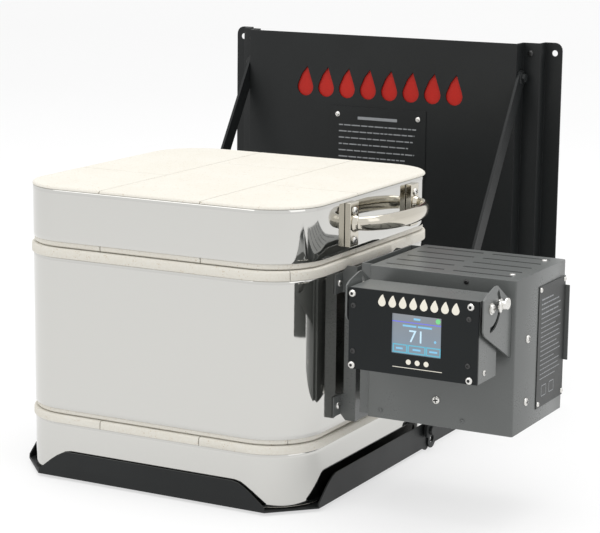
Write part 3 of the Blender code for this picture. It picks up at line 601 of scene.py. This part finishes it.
def layer_bricks(nodes, band_node, half, bulge=BULGE):
    """Bricks of a solid layer, each cut out to its CAD node's joints."""
    band_low, band_high = box(band_node)
    for node in nodes:
        low, high = box(node)
        bm = solid_section(brick_profile(low.z, high.z, band_low.z, band_high.z, bulge), half)
        for axis in (0, 1):
            for value, sign in ((low[axis], -1.0), (high[axis], 1.0)):
                if abs(value) < half - 5.0:
                    point = Vector((0, 0, 0))
                    point[axis] = value - sign * JOINT_GAP
                    normal = Vector((0, 0, 0))
                    normal[axis] = sign
                    keep_behind(bm, point, normal)
        ease_edges(stands_for(node, bm), 0.6, 2, 60.0)


def ring_bricks(half):
    """Chamber ring: outer and inner skins bridged, then mitred into four walls."""
    low, high = box("ring_brick_front")
    band_low, band_high = box("ring_band")
    chamber = abs(box("ring_brick_front")[1].y)
    grooves = [middle("heating_element_" + level).z for level in ("upper", "middle", "lower")]
    profile = [(0.6, high.z), (0.0, high.z - 1.0)]
    for z in grooves:
        profile += [(0.0, z + GROOVE_HALF + 0.6), (0.5, z + GROOVE_HALF),
                    (GROOVE_DEPTH - 2.0, z + GROOVE_HALF), (GROOVE_DEPTH, z + GROOVE_HALF - 2.0),
                    (GROOVE_DEPTH, z - GROOVE_HALF + 2.0), (GROOVE_DEPTH - 2.0, z - GROOVE_HALF),
                    (0.5, z - GROOVE_HALF), (0.0, z - GROOVE_HALF - 0.6)]
    profile += [(0.0, low.z + 1.0), (0.6, low.z)]
    walls = {"front": 0, "right": 90, "back": 180, "left": 270}
    for label, angle in walls.items():
        outer = wrapped(brick_profile(low.z, high.z, band_low.z, band_high.z), half, CORNER)
        inner = wrapped([(-inset, z) for inset, z in profile], chamber, CHAMBER_CORNER)
        bm = join([outer, inner])
        for level in (low.z, high.z):
            rims = [e for e in bm.edges if e.is_boundary and abs(e.verts[0].co.z - level) < 0.01]
            bmesh.ops.bridge_loops(bm, edges=rims)
        bmesh.ops.recalc_face_normals(bm, faces=bm.faces)
        turn = Matrix.Rotation(math.radians(angle), 3, "Z")
        for side in (-1, 1):
            normal = turn @ Vector((side, 1.0, 0.0)).normalized()
            keep_behind(bm, -normal * JOINT_GAP, normal)
        ease_edges(stands_for("ring_brick_" + label, bm), 0.5, 2, 60.0)


def bands(half):
    """Polished steel wraps with a hairline rolled edge."""
    for node in ("base_band", "ring_band", "lid_band"):
        low, high = box(node)
        roll = 0.25
        profile = [(0.8, low.z), (roll, low.z), (0.0, low.z + roll), (0.0, low.z + 4.0),
                   (0.0, high.z - 4.0), (0.0, high.z - roll), (roll, high.z), (0.8, high.z),
                   (0.8, low.z)]
        bm = wrapped(profile, half, CORNER)
        bmesh.ops.recalc_face_normals(bm, faces=bm.faces)
        stands_for(node, bm, sharp=50.0)
        band_seam(node, half)


def band_seam(node, half):
    """Lapped joint of the wrap at the back, held by small rivets."""
    low, high = box(node)
    strip = slab((-LAP_HALF, half + 0.02, low.z + 0.4), (LAP_HALF, half + LAP_PROUD, high.z - 0.4))
    seam = piece(node + "_lap", strip, "band", BODY_OF[node])
    ease_edges(seam, 0.2)
    count = 3 if high.z - low.z < 80 else 7
    step = (high.z - low.z - 16.0) / (count - 1)
    spots = [(0.0, half + LAP_PROUD, low.z + 8.0 + step * i) for i in range(count)]
    fasteners(node + "_lap_rivets", spots, "+Y", rivet(2.2), "zinc", BODY_OF[node])


def element_path(half, corner, z, count):
    """Points and outward directions round a groove."""
    flat = half - corner
    points = []
    for k in range(4):
        turn = Matrix.Rotation(math.radians(90 * k), 3, "Z")
        for i in range(count):
            y = -flat + 2 * flat * i / count
            points.append((turn @ Vector((half, y, z)), turn @ Vector((1, 0, 0))))
        for i in range(6):
            a = math.radians(15 * i)
            out = Vector((math.cos(a), math.sin(a), 0))
            points.append((turn @ (Vector((flat, flat, z)) + out * corner), turn @ out))
    return points


def heating_coils():
    """Coiled resistance wire lying in each groove."""
    for level in ("lower", "middle", "upper"):
        node = "heating_element_" + level
        low, high = box(node)
        radius = (high.z - low.z) / 2 - 0.6
        path = element_path(high.x - radius - 0.6, 6.0, (low.z + high.z) / 2, 380)
        points = []
        for i, (centre, out) in enumerate(path):
            angle = math.tau * i / STEPS_PER_COIL
            points.append(centre + out * radius * math.cos(angle)
                          + Vector((0, 0, radius * math.sin(angle))))
        stands_for(node, tube(points, WIRE_RADIUS, closed=True, sides=0), sharp=80.0)


# ---------------------------------------------------------------- fasteners
def cross_screw(radius, height):
    """Pan head with a cross recess."""
    head = turned([(0.0, -0.6), (radius * 0.97, -0.6), (radius, 0.0), (radius, height * 0.25),
                   (radius * 0.94, height * 0.55), (radius * 0.76, height * 0.83),
                   (radius * 0.45, height * 0.97), (0.0, height)], 28)
    bars = []
    for angle in (0, 90):
        bar = slab((-radius * 0.62, -radius * 0.16, height * 0.15),
                   (radius * 0.62, radius * 0.16, height * 1.5))
        bmesh.ops.rotate(bar, cent=(0, 0, 0), verts=bar.verts,
                         matrix=Matrix.Rotation(math.radians(angle), 3, "Z"))
        bars.append(bar)
    return carved(carved(head, bars[0]), bars[1])


def socket_screw(radius, height):
    """Low button head with a hexagon socket."""
    head = turned([(0.0, -0.6), (radius * 0.97, -0.6), (radius, 0.0), (radius * 0.95, height * 0.45),
                   (radius * 0.7, height * 0.85), (radius * 0.5, height), (0.0, height)], 28)
    key = bmesh.new()
    bmesh.ops.create_cone(key, cap_ends=True, segments=6, radius1=radius * 0.46,
                          radius2=radius * 0.46, depth=height * 1.4,
                          matrix=Matrix.Translation((0, 0, height * 0.85)))
    return carved(head, key)


def rivet(radius):
    """Small domed blind rivet with its mandrel hole."""
    return turned([(0.0, -0.4), (radius, -0.4), (radius, 0.15), (radius * 0.9, radius * 0.28),
                   (radius * 0.6, radius * 0.46), (radius * 0.36, radius * 0.5),
                   (radius * 0.30, radius * 0.3), (0.0, radius * 0.28)], 20)


def hex_bolt(radius, height):
    """Flanged hexagon head."""
    flange = turned([(0.0, -0.2), (radius * 1.5, -0.2), (radius * 1.55, 0.3), (radius * 1.2, 1.2),
                     (0.0, 1.3)], 32)
    head = bmesh.new()
    bmesh.ops.create_cone(head, cap_ends=True, segments=6, radius1=radius, radius2=radius,
                          depth=height, matrix=Matrix.Translation((0, 0, height / 2 + 0.6)))
    crown = turned([(0.0, 0.0), (radius * 1.02, 0.0), (radius * 1.02, height * 0.95),
                    (radius * 0.86, height + 0.6), (0.0, height + 0.62)], 24)
    return join([flange, carved(head, crown, "INTERSECT")])


def recess(kind, radius, height):
    """Black filler in a screw's recess, just under the crown: painted shade for the shadow inside the
    recess.
    """
    if kind == "cross":
        reach, half = radius * 0.52, radius * 0.15
        return join([slab((-reach, -half, 0.0), (reach, half, height * 0.93)),
                     slab((-half, -reach, 0.0), (half, reach, height * 0.92))])
    return turned([(0.0, 0.0), (radius * 0.36, 0.0), (radius * 0.36, height * 0.9), (0.0, height * 0.9)], 6)


def fasteners(name, spots, facing, template, finish, body, dark=None):
    """Copies of one head at several places, each turned at random about its own axis."""
    heads, shades = [], []
    for spot in spots:
        seat = seated(spot, facing) @ Matrix.Rotation(chance.uniform(0.0, math.pi), 4, "Z")
        heads.append(copied(template, seat))
        if dark:
            shades.append(copied(dark, seat))
    template.free()
    if dark:
        dark.free()
        # The black recess pieces are painted shade inside the heads' recesses.
        piece(name + "_recess_painted_shade", join(shades), "black", body, sharp=40.0)
    return piece(name, join(heads), finish, body, sharp=40.0)


def cross_heads(name, spots, facing, radius, height, body, finish="zinc"):
    """Cross-recessed pan heads with black painted shade in their recesses."""
    fasteners(name, spots, facing, cross_screw(radius, height), finish, body,
              recess("cross", radius, height))


# ---------------------------------------------------------------- stand
def flame(width, height):
    """Outline of a plain teardrop flame about its own middle."""
    radius = width / 2
    low = -height / 2 + radius
    outline = []
    for i in range(17):
        a = math.radians(155 + 230 * i / 16)
        outline.append((radius * math.cos(a), low + radius * math.sin(a)))
    outline += [(radius * 0.72, low + radius * 0.95), (radius * 0.42, low + radius * 1.55),
                (radius * 0.25, height / 2), (-radius * 0.12, low + radius * 1.75),
                (-radius * 0.55, low + radius * 1.15)]
    return outline


def stand():
    for node in ("stand_tray", "stand_arm_left", "stand_arm_right", "stand_back_panel"):
        eased_copy(node, 0.45)
    for node in ("stand_brace_left", "stand_brace_right"):
        eased_copy(node, 0.5)
    for node in ("stand_foot_left", "stand_foot_right", "emblem_backing"):
        eased_copy(node, 0.3)
    for side, facing in (("left", "-X"), ("right", "+X")):
        for level in ("lower", "upper"):
            node = "brace_bolt_%s_%s" % (side, level)
            brace_low, brace_high = box("stand_brace_" + side)
            face = brace_high.x if side == "right" else brace_low.x
            centre = middle(node)
            bolt = copied(hex_bolt(5.4, 4.0), seated((face, centre.y, centre.z), facing))
            stands_for(node, bolt, "black")
    panel_fittings()


def worded(start, length, tall, line):
    """A ruled line broken into blank words; line(a, b) makes one piece of it."""
    parts = []
    place = start
    while place < start + length:
        word = min(chance.uniform(2.2, 7.5) * tall, start + length - place)
        parts.append(line(place, place + word))
        place += word + tall * 0.8
    return parts


def panel_fittings():
    """Sign plate with ruled lines, its rivets, and the small bolts of the panel."""
    low, high = box("stand_sign_plate")
    eased_copy("stand_sign_plate", 0.2)
    centre = (low.x + high.x) / 2
    spots = [(centre + x, low.y, high.z - 10.0) for x in (-53.0, 53.0)]
    fasteners("sign_plate_rivets", spots, "-Y", rivet(3.3), "zinc", "stand")
    lines = [slab((centre - 26.0, low.y - PRINT_RISE, high.z - 15.0),
                  (centre + 26.0, low.y + 0.1, high.z - 11.5))]
    for i, width in enumerate((51.0, 50.0, 49.0, 46.0, 50.0, 44.0, 47.0, 40.0)):
        z = high.z - 22.5 - 7.6 * i
        lines += worded(centre - 51.0, 2 * width, 1.6,
                        lambda a, b: slab((a, low.y - PRINT_RISE, z - 0.7), (b, low.y + 0.1, z + 0.7)))
    piece("sign_plate_rules", join(lines), "grey_print", "stand")
    p_low, p_high = box("stand_back_panel")
    step_y = p_low.y + 21.0
    mid = (p_low.x + p_high.x) / 2
    spots = [(mid + x, step_y, p_high.z - 12.0) for x in (-183.5, 183.5)]
    fasteners("panel_step_bolts", spots, "-Y", socket_screw(3.6, 2.0), "dark_screw", "stand")
    spots = []
    for side in ("left", "right"):
        a_low, a_high = box("stand_arm_" + side)
        inner = a_low.x + 13.0 if side == "left" else a_high.x - 13.0
        spots.append((inner, a_high.y - 1.7, 13.5))
    fasteners("arm_tab_bolts", spots, "-Y", hex_bolt(4.6, 3.2), "dark_screw", "stand")


# ---------------------------------------------------------------- control box
def control_box():
    for node, width in (("heat_baffle", 0.4), ("box_chassis_channel", 0.4), ("box_shell", 0.5),
                        ("box_back_plate", 0.3)):
        eased_copy(node, width)
    eased_copy("box_data_plate", 0.15, "label")
    low, high = box("box_shell")
    front, right, top = low.y, high.x, high.z
    cross_heads("box_front_screw", [(low.x + 73.0, front, low.z + 26.0)], "-Y", 4.0, 2.2, "chamber_ring")
    fasteners("box_front_dark_screws",
              [(low.x + 14.5, front, high.z - 16.0), (low.x + 101.0, front, high.z - 5.8)], "-Y",
              socket_screw(2.6, 1.2), "dark_screw", "chamber_ring")
    fasteners("box_front_plugs", [(low.x + 14.0, front, low.z + 8.0), (low.x + 100.5, front, low.z + 9.0)],
              "-Y", rivet(2.4), "grey", "chamber_ring")
    cross_heads("box_side_screws",
                [(right, front + 31.0, low.z + 89.0), (right, front + 30.5, low.z + 27.8)], "+X", 4.0, 2.4, "chamber_ring")
    cross_heads("box_top_screws", [(high.x - 15.5, front + 27.0, top), (high.x - 15.5, high.y - 18.0, top)],
                "+Z", 2.8, 1.3, "chamber_ring")
    # Black slabs just under the top surface fill the vent slots: painted shade for the dark inside of the
    # slots.
    painted_vent_shade = []
    for y in (18.0, 42.0, 66.0, 90.0, 114.0):
        for x0, x1 in ((9.0, 69.5), (79.5, 139.5)):
            painted_vent_shade.append(slab((low.x + x0 + 0.2, front + y - 1.7, top - 0.9),
                              (low.x + x1 - 0.2, front + y + 1.7, top + 0.05)))
    piece("box_vent_painted_shade", join(painted_vent_shade), "black", "chamber_ring")
    data_plate()
    baffle_fittings()
    rear_fittings()


def data_plate():
    """Ruled lines, two blank frames and corner rivets on the data plate."""
    low, high = box("box_data_plate")
    face = high.x
    lines = []
    widths = (30, 46, 50, 44, 52, 50, 38, 52, 48, 51, 42, 49, 52, 36, 50, 47, 52, 40)
    for i, width in enumerate(widths):
        z = high.z - 14.0 - 4.6 * i
        tall = 1.3 if i < 4 else 0.9
        lines += worded(low.y + 7.0, width, tall, lambda a, b: slab((face - 0.1, a, z - tall / 2),
                                                                    (face + 0.1, b, z + tall / 2)))
    for y in (low.y + 12.0, low.y + 32.0):
        for a, b in (((y, 10.0), (y + 13.0, 10.8)), ((y, 20.2), (y + 13.0, 21.0)),
                     ((y, 10.0), (y + 0.8, 21.0)), ((y + 12.2, 10.0), (y + 13.0, 21.0))):
            lines.append(slab((face - 0.1, a[0], low.z + a[1]), (face + 0.1, b[0], low.z + b[1])))
    piece("data_plate_rules", join(lines), "grey_print", "chamber_ring")
    spots = [(face, y, z) for y in (low.y + 4.4, high.y - 2.2) for z in (low.z + 4.0, high.z - 3.7)]
    fasteners("data_plate_rivets", spots, "+X", rivet(2.6), "zinc", "chamber_ring")


def baffle_fittings():
    """Screws through the baffle's bent feet, and the spacers behind the box."""
    low, high = box("heat_baffle")
    face = box("ring_band")[1].x + BAFFLE_SHEET
    spots = []
    for y in (low.y + 8.5, high.y - 8.5):
        spots += [(face, y, low.z + 16.0), (face, y, high.z - 17.0)]
    cross_heads("baffle_foot_screws", spots, "+X", 3.4, 2.2, "chamber_ring")
    for level in ("lower", "upper", "back"):
        node = "box_spacer_" + level
        s_low, s_high = box(node)
        length = s_high.x - s_low.x
        profile = [(0.0, 0.0), (4.0, 0.0), (4.2, 0.4), (4.2, length - 0.4), (4.0, length), (0.0, length)]
        centre = middle(node)
        spacer = copied(turned(profile, 24), seated((s_low.x, centre.y, centre.z), "+X"))
        stands_for(node, spacer)
    for level in ("lower", "upper"):
        node = "element_bushing_" + level
        s_low, s_high = box(node)
        length = s_high.x - s_low.x
        centre = middle(node)
        profile = [(1.3, 0.0), (3.7, 0.0), (4.0, 0.5), (4.0, length - 1.0), (3.6, length), (1.3, length),
                   (1.3, 0.0)]
        seat = seated((s_low.x, centre.y, centre.z), "+X")
        stands_for(node, copied(turned(profile, 24), seat))
        pin = turned([(0.0, -3.0), (1.1, -3.0), (1.1, length + 3.0), (0.0, length + 3.4)], 12)
        nut = hex_bolt(2.6, 1.2)
        lead = [copied(pin, seat), copied(nut, seat @ Matrix.Translation((0, 0, length - 0.5)))]
        pin.free()
        nut.free()
        piece(node + "_terminal", join(lead), "brass", "chamber_ring")


def rear_fittings():
    """Back plate screws, cord gland and the hidden electronics."""
    low, high = box("box_back_plate")
    spots = [(x, high.y, z) for x in (low.x + 7.0, high.x - 12.0) for z in (low.z + 7.0, high.z - 7.0)]
    cross_heads("back_plate_screws", spots, "+Y", 3.2, 1.9, "chamber_ring")
    centre = middle("cord_gland")
    wall = box("box_shell")[1].y
    reach = box("cord_gland")[1].y - wall
    nut = bmesh.new()
    bmesh.ops.create_cone(nut, cap_ends=True, segments=6, radius1=12.0, radius2=12.0, depth=5.0,
                          matrix=Matrix.Translation((0, 0, 2.8)))
    bmesh.ops.bevel(nut, geom=nut.edges[:], offset=0.5, segments=2, affect="EDGES", profile=0.5,
                    material=-1)
    dome = turned([(0.0, -8.0), (7.4, -8.0), (7.4, 0.3), (9.8, 5.0), (9.9, 11.0), (9.4, 13.0),
                   (8.0, 15.0), (5.6, reach - 0.2), (4.6, reach),
                   (4.0, reach - 1.0), (0.0, reach - 1.2)], 36)
    ribs = []
    for i in range(18):
        rib = slab((9.4, -0.35, 5.4), (10.3, 0.35, 11.4))
        bmesh.ops.rotate(rib, cent=(0, 0, 0), verts=rib.verts,
                         matrix=Matrix.Rotation(math.tau * i / 18, 3, "Z"))
        ribs.append(rib)
    gland = join([nut, dome] + ribs)
    bmesh.ops.transform(gland, matrix=seated((centre.x, wall, centre.z), "+Y"),
                        verts=gland.verts)
    stands_for("cord_gland", gland, sharp=40.0)
    rocker()
    for node, finish in (("power_board", "board"), ("transformer", "core"), ("controller_board", "board"),
                         ("thermocouple", "tube")):
        finish_in_place(node, finish)


def rocker():
    """Rocker switch and its moulded bezel."""
    eased_copy("power_switch_rocker", 0.6)
    face = box("box_back_plate")[1].y
    centre = middle("power_switch_rocker")
    outer = slab((centre.x - 9.0, face + 0.02, centre.z - 14.0),
                 (centre.x + 9.0, face + 1.6, centre.z + 14.0))
    inner = slab((centre.x - 6.3, face - 2.0, centre.z - 11.3),
                 (centre.x + 6.3, face + 4.0, centre.z + 11.3))
    bezel = piece("switch_bezel", carved(outer, inner), "plastic", "chamber_ring")
    ease_edges(bezel, 0.4)


# ---------------------------------------------------------------- display
def display():
    eased_copy("display_bracket", 0.35)
    eased_copy("display_housing", 0.5)
    eased_copy("display_faceplate", 0.25)
    low, high = box("display_faceplate")
    face = low.y
    inset = 3.6
    spots = [(x, face, z) for x in (low.x + inset, high.x - 8.0) for z in (low.z + inset, high.z - 5.6)]
    fasteners("face_screws", spots, "-Y", socket_screw(3.6, 2.1), "zinc", "display_pod",
              recess("hexagon", 3.6, 2.1))
    spots = [(x, face, z) for x in (low.x + 4.6, high.x - 9.5) for z in (low.z + 17.0, high.z - 17.0)]
    fasteners("face_dark_screws", spots, "-Y", socket_screw(2.6, 0.9), "dark_screw", "display_pod")
    h_low, h_high = box("display_housing")
    cross_heads("housing_side_screws", [(h_high.x, h_low.y + 13.4, h_low.z + 8.5)], "+X", 2.8, 1.3,
                "display_pod")
    screen()
    face_marks(low, high, face)
    for side, facing in (("left", "-X"), ("right", "+X")):
        pivot_screw(side, facing)
        wing_screw(side, facing)


def bracket_face(side):
    low, high = box("display_bracket")
    return high.x if side == "right" else low.x


def pivot_screw(side, facing):
    node = "pivot_screw_" + side
    centre = middle(node)
    seat = seated((bracket_face(side), centre.y, centre.z), facing)
    head = copied(cross_screw(4.4, 2.6), seat @ Matrix.Translation((0, 0, 0.8)))
    washer = copied(turned([(0.0, 0.0), (5.6, 0.0), (5.7, 0.2), (5.6, 0.8), (0.0, 0.8)], 32), seat)
    shank = copied(turned([(0.0, -11.5), (1.7, -11.5), (2.0, -11.0), (2.0, 0.2), (0.0, 0.2)], 20), seat)
    stands_for(node, join([head, washer, shank]), sharp=40.0)


def wing_screw(side, facing):
    """Wing screw: turned hub, threaded shank and two swept wings."""
    node = "clamp_knob_" + side
    centre = middle(node)
    hub = turned([(0.0, -9.5), (1.6, -9.5), (2.0, -9.0), (2.0, 0.0), (5.8, 0.0), (6.0, 0.4), (6.0, 1.2),
                  (4.6, 1.7), (4.2, 2.2), (4.0, 5.4), (3.4, 6.3), (2.0, 6.5), (0.0, 6.5)], 32)
    wings = []
    for sign in (-1, 1):
        lobe = [(8.2 + 4.9 * math.cos(math.radians(a)), 5.6 * math.sin(math.radians(a)))
                for a in range(-140, 141, 20)]
        wing = plate([(2.0, -2.6)] + lobe + [(2.0, 2.6)], 2.6)
        for vert in wing.verts:
            vert.co.z += 1.6 + vert.co.x * 0.12
        if sign < 0:
            bmesh.ops.rotate(wing, cent=(0, 0, 0), verts=wing.verts,
                             matrix=Matrix.Rotation(math.pi, 3, "Z"))
        bmesh.ops.bevel(wing, geom=[e for e in wing.edges if abs(e.calc_face_angle(0.0)) > 1.0],
                        offset=0.7, segments=3, affect="EDGES", profile=0.5, material=-1)
        wings.append(wing)
    threads = [tube([(2.0 * math.cos(a), 2.0 * math.sin(a), -9.0 + a * 0.11)
                     for a in (i * 0.5 for i in range(140))], 0.22, sides=0)]
    knob = join([hub] + wings + threads)
    flat = Matrix.Rotation(math.radians(90), 4, "Z")
    seat = seated((bracket_face(side), centre.y, centre.z), facing)
    bmesh.ops.transform(knob, matrix=seat @ flat, verts=knob.verts)
    stands_for(node, knob, sharp=40.0)


def screen():
    """Lit panel with a big reading, bars for its captions and three soft keys."""
    low, high = box("touch_screen")
    glass = slab(low, high)
    ease_edges(stands_for("touch_screen", glass), 0.2)
    window_low = low + Vector((4.0, 0, 4.0))
    window_high = high - Vector((4.0, 0, 4.0))
    wide, tall = window_high.x - window_low.x, window_high.z - window_low.z
    face = low.y

    def bar(u0, v0, u1, v1):
        return slab((window_low.x + wide * u0, face - PRINT_RISE, window_low.z + tall * v0),
                    (window_low.x + wide * u1, face + 0.05, window_low.z + tall * v1))

    def frame_of(u0, v0, u1, v1, t):
        return [bar(u0, v0, u1, v0 + t * 1.3), bar(u0, v1 - t * 1.3, u1, v1), bar(u0, v0, u0 + t, v1),
                bar(u1 - t, v0, u1, v1)]

    def words(u0, u1, v, t):
        return worded(u0, u1 - u0, t, lambda a, b: bar(a, v - t * 0.55, b, v + t * 0.55))

    captions = words(0.43, 0.58, 0.895, 0.045) + words(0.21, 0.80, 0.71, 0.04)
    keys = []
    for u0, u1 in ((0.015, 0.31), (0.32, 0.68), (0.69, 0.985)):
        middle_u = (u0 + u1) / 2
        captions += words(middle_u - 0.08, middle_u + 0.08, 0.125, 0.04)
        keys += frame_of(u0, 0.015, u1, 0.235, 0.022)
    piece("screen_captions", join(captions), "lit_blue", "display_pod")
    piece("screen_keys", join(keys), "lit_cyan", "display_pod")
    piece("screen_top_line", join([bar(0.0, 0.785, 1.0, 0.81)]), "lit_violet", "display_pod")
    dots = (("ready", "lit_green", 2.4, 0.92, 0.905), ("unit", "lit_blue", 1.2, 0.87, 0.38))
    for name, finish, radius, u, v in dots:
        dot = turned([(0.0, 0.0), (radius, 0.0), (radius, 0.15), (0.0, 0.15)], 20)
        spot = seated((window_low.x + wide * u, face, window_low.z + tall * v), "-Y")
        piece("screen_%s_dot" % name, copied(dot, spot), finish, "display_pod")
        dot.free()
    reading("71", (window_low.x + wide * 0.495, face - PRINT_RISE, window_low.z + tall * 0.31), tall * 0.44)


def reading(text, place, size):
    """The plain temperature number."""
    curve = bpy.data.curves.new("reading", "FONT")
    curve.body = text
    curve.size = size
    curve.align_x = "CENTER"
    curve.extrude = 0.05
    obj = placed("reading", curve)
    bm = bmesh.new()
    bm.from_mesh(obj.to_mesh())
    obj.to_mesh_clear()
    bpy.data.objects.remove(obj)
    bmesh.ops.transform(bm, matrix=seated(place, "-Y"), verts=bm.verts)
    piece("screen_reading", bm, "lit_white", "display_pod")


def face_marks(low, high, face):
    """Row of small flames above the screen, and a rule with three dots below it."""
    s_low, s_high = box("touch_screen")
    centre = (s_low.x + s_high.x) / 2 + 2.0
    marks = []
    for i in range(8):
        outline = plate(flame(7.6, 11.4), MARK_RISE)
        spot = seated((centre + (i - 3.5) * 10.6, face, high.z - 8.9), "-Y")
        marks.append(copied(outline, spot))
        outline.free()
    marks.append(slab((centre - 25.0, face - MARK_RISE, low.z + 7.4), (centre + 25.0, face, low.z + 8.0)))
    for x in (-9.0, 0.0, 9.0):
        dot = turned([(0.0, 0.0), (2.5, 0.0), (2.5, MARK_RISE), (0.0, MARK_RISE)], 24)
        marks.append(copied(dot, seated((centre + x, face, low.z + 13.4), "-Y")))
        dot.free()
    piece("face_marks", join(marks), "print", "display_pod")


# ---------------------------------------------------------------- lid handle
def handle():
    """Chromed bow handle: flanges, collars and a swelling flattened grip."""
    flanges = {}
    for label in ("near", "far"):
        node = "handle_flange_" + label
        low, high = box(node)
        flanges[label] = (low, high)
        bm = slab(low, high)
        ease_edges(stands_for(node, bm, "chrome"), 0.6, 3)
        y = (low.y + high.y) / 2
        spots = [(high.x, y, high.z - 8.5), (high.x, y, low.z + 6.5)]
        cross_heads("handle_screws_" + label, spots, "+X", 4.0, 2.2, "lid")
    low, high = box("handle_grip")
    y0 = (flanges["near"][0].y + flanges["near"][1].y) / 2
    y1 = (flanges["far"][0].y + flanges["far"][1].y) / 2
    z = (low.z + high.z) / 2
    root = flanges["near"][1].x + 0.2
    reach = high.x - root - 4.5
    grip = bmesh.new()
    ring = bmesh.ops.create_circle(grip, segments=HANDLE_SIDES, radius=1.0)["verts"]
    loops = []
    for i in range(HANDLE_STEPS + 1):
        angle = math.radians(-90 + 180 * i / HANDLE_STEPS)
        spot = Vector((root + reach * math.cos(angle), (y0 + y1) / 2 + (y1 - y0) / 2 * math.sin(angle), z))
        along = Vector((-reach * math.sin(angle), (y1 - y0) / 2 * math.cos(angle), 0)).normalized()
        side = Vector((along.y, -along.x, 0))
        swell = math.sin(math.pi * i / HANDLE_STEPS)
        wide, high_half = 3.8 + 0.7 * swell, 6.6 + 1.6 * swell
        if i == 0:
            loop = ring
        else:
            edges = list({e for v in loops[-1] for e in v.link_edges
                          if all(w in loops[-1] for w in e.verts)})
            grown = bmesh.ops.extrude_edge_only(grip, edges=edges)["geom"]
            loop = sorted(verts_in(grown), key=lambda v: partner(v, loops[-1]))
        loops.append(loop)
        for k, vert in enumerate(loop):
            a = math.tau * k / HANDLE_SIDES
            vert.co = spot + side * wide * math.cos(a) + Vector((0, 0, high_half * math.sin(a)))
    bmesh.ops.holes_fill(grip, edges=[e for e in grip.edges if e.is_boundary], sides=0)
    bmesh.ops.recalc_face_normals(grip, faces=grip.faces)
    collars = []
    for y in (y0, y1):
        collar = turned([(0.0, 0.0), (1.30, 0.0), (1.27, 1.0), (1.12, 2.2), (1.02, 4.4), (0.9, 5.0),
                         (0.0, 5.0)], 32)
        for vert in collar.verts:
            vert.co.x *= COLLAR_HALF[0]
            vert.co.y *= COLLAR_HALF[1]
        collars.append(copied(collar, seated((root - 0.1, y, z), "+X")))
        collar.free()
    stands_for("handle_grip", join([grip] + collars), "chrome", sharp=45.0)


def partner(vert, previous):
    """Place in the last loop of the vertex that this one was pulled from."""
    for edge in vert.link_edges:
        other = edge.other_vert(vert)
        if other in previous:
            return previous.index(other)
    return -1


# ---------------------------------------------------------------- stage
def studio():
    """Pale sweep, white world and three soft boxes."""
    floor_z = CAD_BOX[0][2]
    bm = bmesh.new()
    verts = [bm.verts.new((x, -6.0, floor_z)) for x in (-8.0, 8.0)]
    live = [bm.edges.new(verts)]
    for run, rise in ((9.0, 0.0), (0.8, 0.08), (0.7, 0.3), (0.4, 0.7), (0.1, 1.0), (0.0, 4.0)):
        grown = bmesh.ops.extrude_edge_only(bm, edges=live)["geom"]
        live = edges_in(grown)
        bmesh.ops.translate(bm, vec=(0.0, run, rise), verts=verts_in(grown))
        live = [e for e in live if all(v in grown for v in e.verts)]
    bmesh.ops.recalc_face_normals(bm, faces=bm.faces)
    mesh = bpy.data.meshes.new("sweep")
    bm.to_mesh(mesh)
    bm.free()
    mesh.shade_smooth()
    mat, _, shader = blank("sweep_paper", 0.9, 0.0, (0.31, 0.31, 0.31))
    shader.inputs["Specular IOR Level"].default_value = 0.0
    shader.inputs["Emission Color"].default_value = (1.0, 1.0, 1.0, 1.0)
    shader.inputs["Emission Strength"].default_value = 0.62
    mesh.materials.append(mat)
    placed("sweep", mesh)

    world = bpy.data.worlds.new("studio")
    world.use_nodes = True
    world.node_tree.nodes["Background"].inputs["Color"].default_value = (1.0, 1.0, 1.0, 1.0)
    world.node_tree.nodes["Background"].inputs["Strength"].default_value = 1.0
    bpy.context.scene.world = world
    soft_box("key_box", (-1.2, -2.2, 2.4), (0.0, 0.0, 0.15), 2.2, 16.0)
    soft_box("top_box", (0.3, 0.2, 3.0), (0.0, 0.0, 0.0), 2.6, 50.0)
    soft_box("side_box", (2.6, -0.6, 1.6), (0.1, 0.0, 0.1), 1.6, 5.0)
    bpy.context.scene.view_settings.view_transform = "Standard"


def soft_box(name, place, target, size, power):
    light = bpy.data.lights.new(name, "AREA")
    light.shape = "SQUARE"
    light.size = size
    light.energy = power
    obj = placed(name, light)
    obj.location = place
    obj.rotation_euler = (Vector(target) - Vector(place)).to_track_quat("-Z", "Y").to_euler()


def camera():
    """Camera at the reference view: to the front right and a little above."""
    turn = (Matrix.Rotation(math.radians(CAMERA_YAW), 4, "Z")
            @ Matrix.Rotation(math.radians(90) - math.radians(CAMERA_PITCH), 4, "X")
            @ Matrix.Rotation(math.radians(CAMERA_ROLL), 4, "Z"))
    data = bpy.data.cameras.new("camera")
    data.sensor_width = 36.0
    data.lens = CAMERA_LENS
    obj = placed("camera", data)
    obj.matrix_world = Matrix.Translation(CAMERA_PLACE) @ turn
    bpy.context.scene.camera = obj


def build():
    half = box("ring_band")[1].x
    layer_bricks([n for n in SLOT_OF if n.startswith("base_brick")], "base_band", half)
    layer_bricks([n for n in SLOT_OF if n.startswith("lid_brick")], "lid_band", half, 0.3)
    ring_bricks(half)
    bands(half)
    heating_coils()
    stand()
    control_box()
    display()
    handle()


studio()
camera()
build()
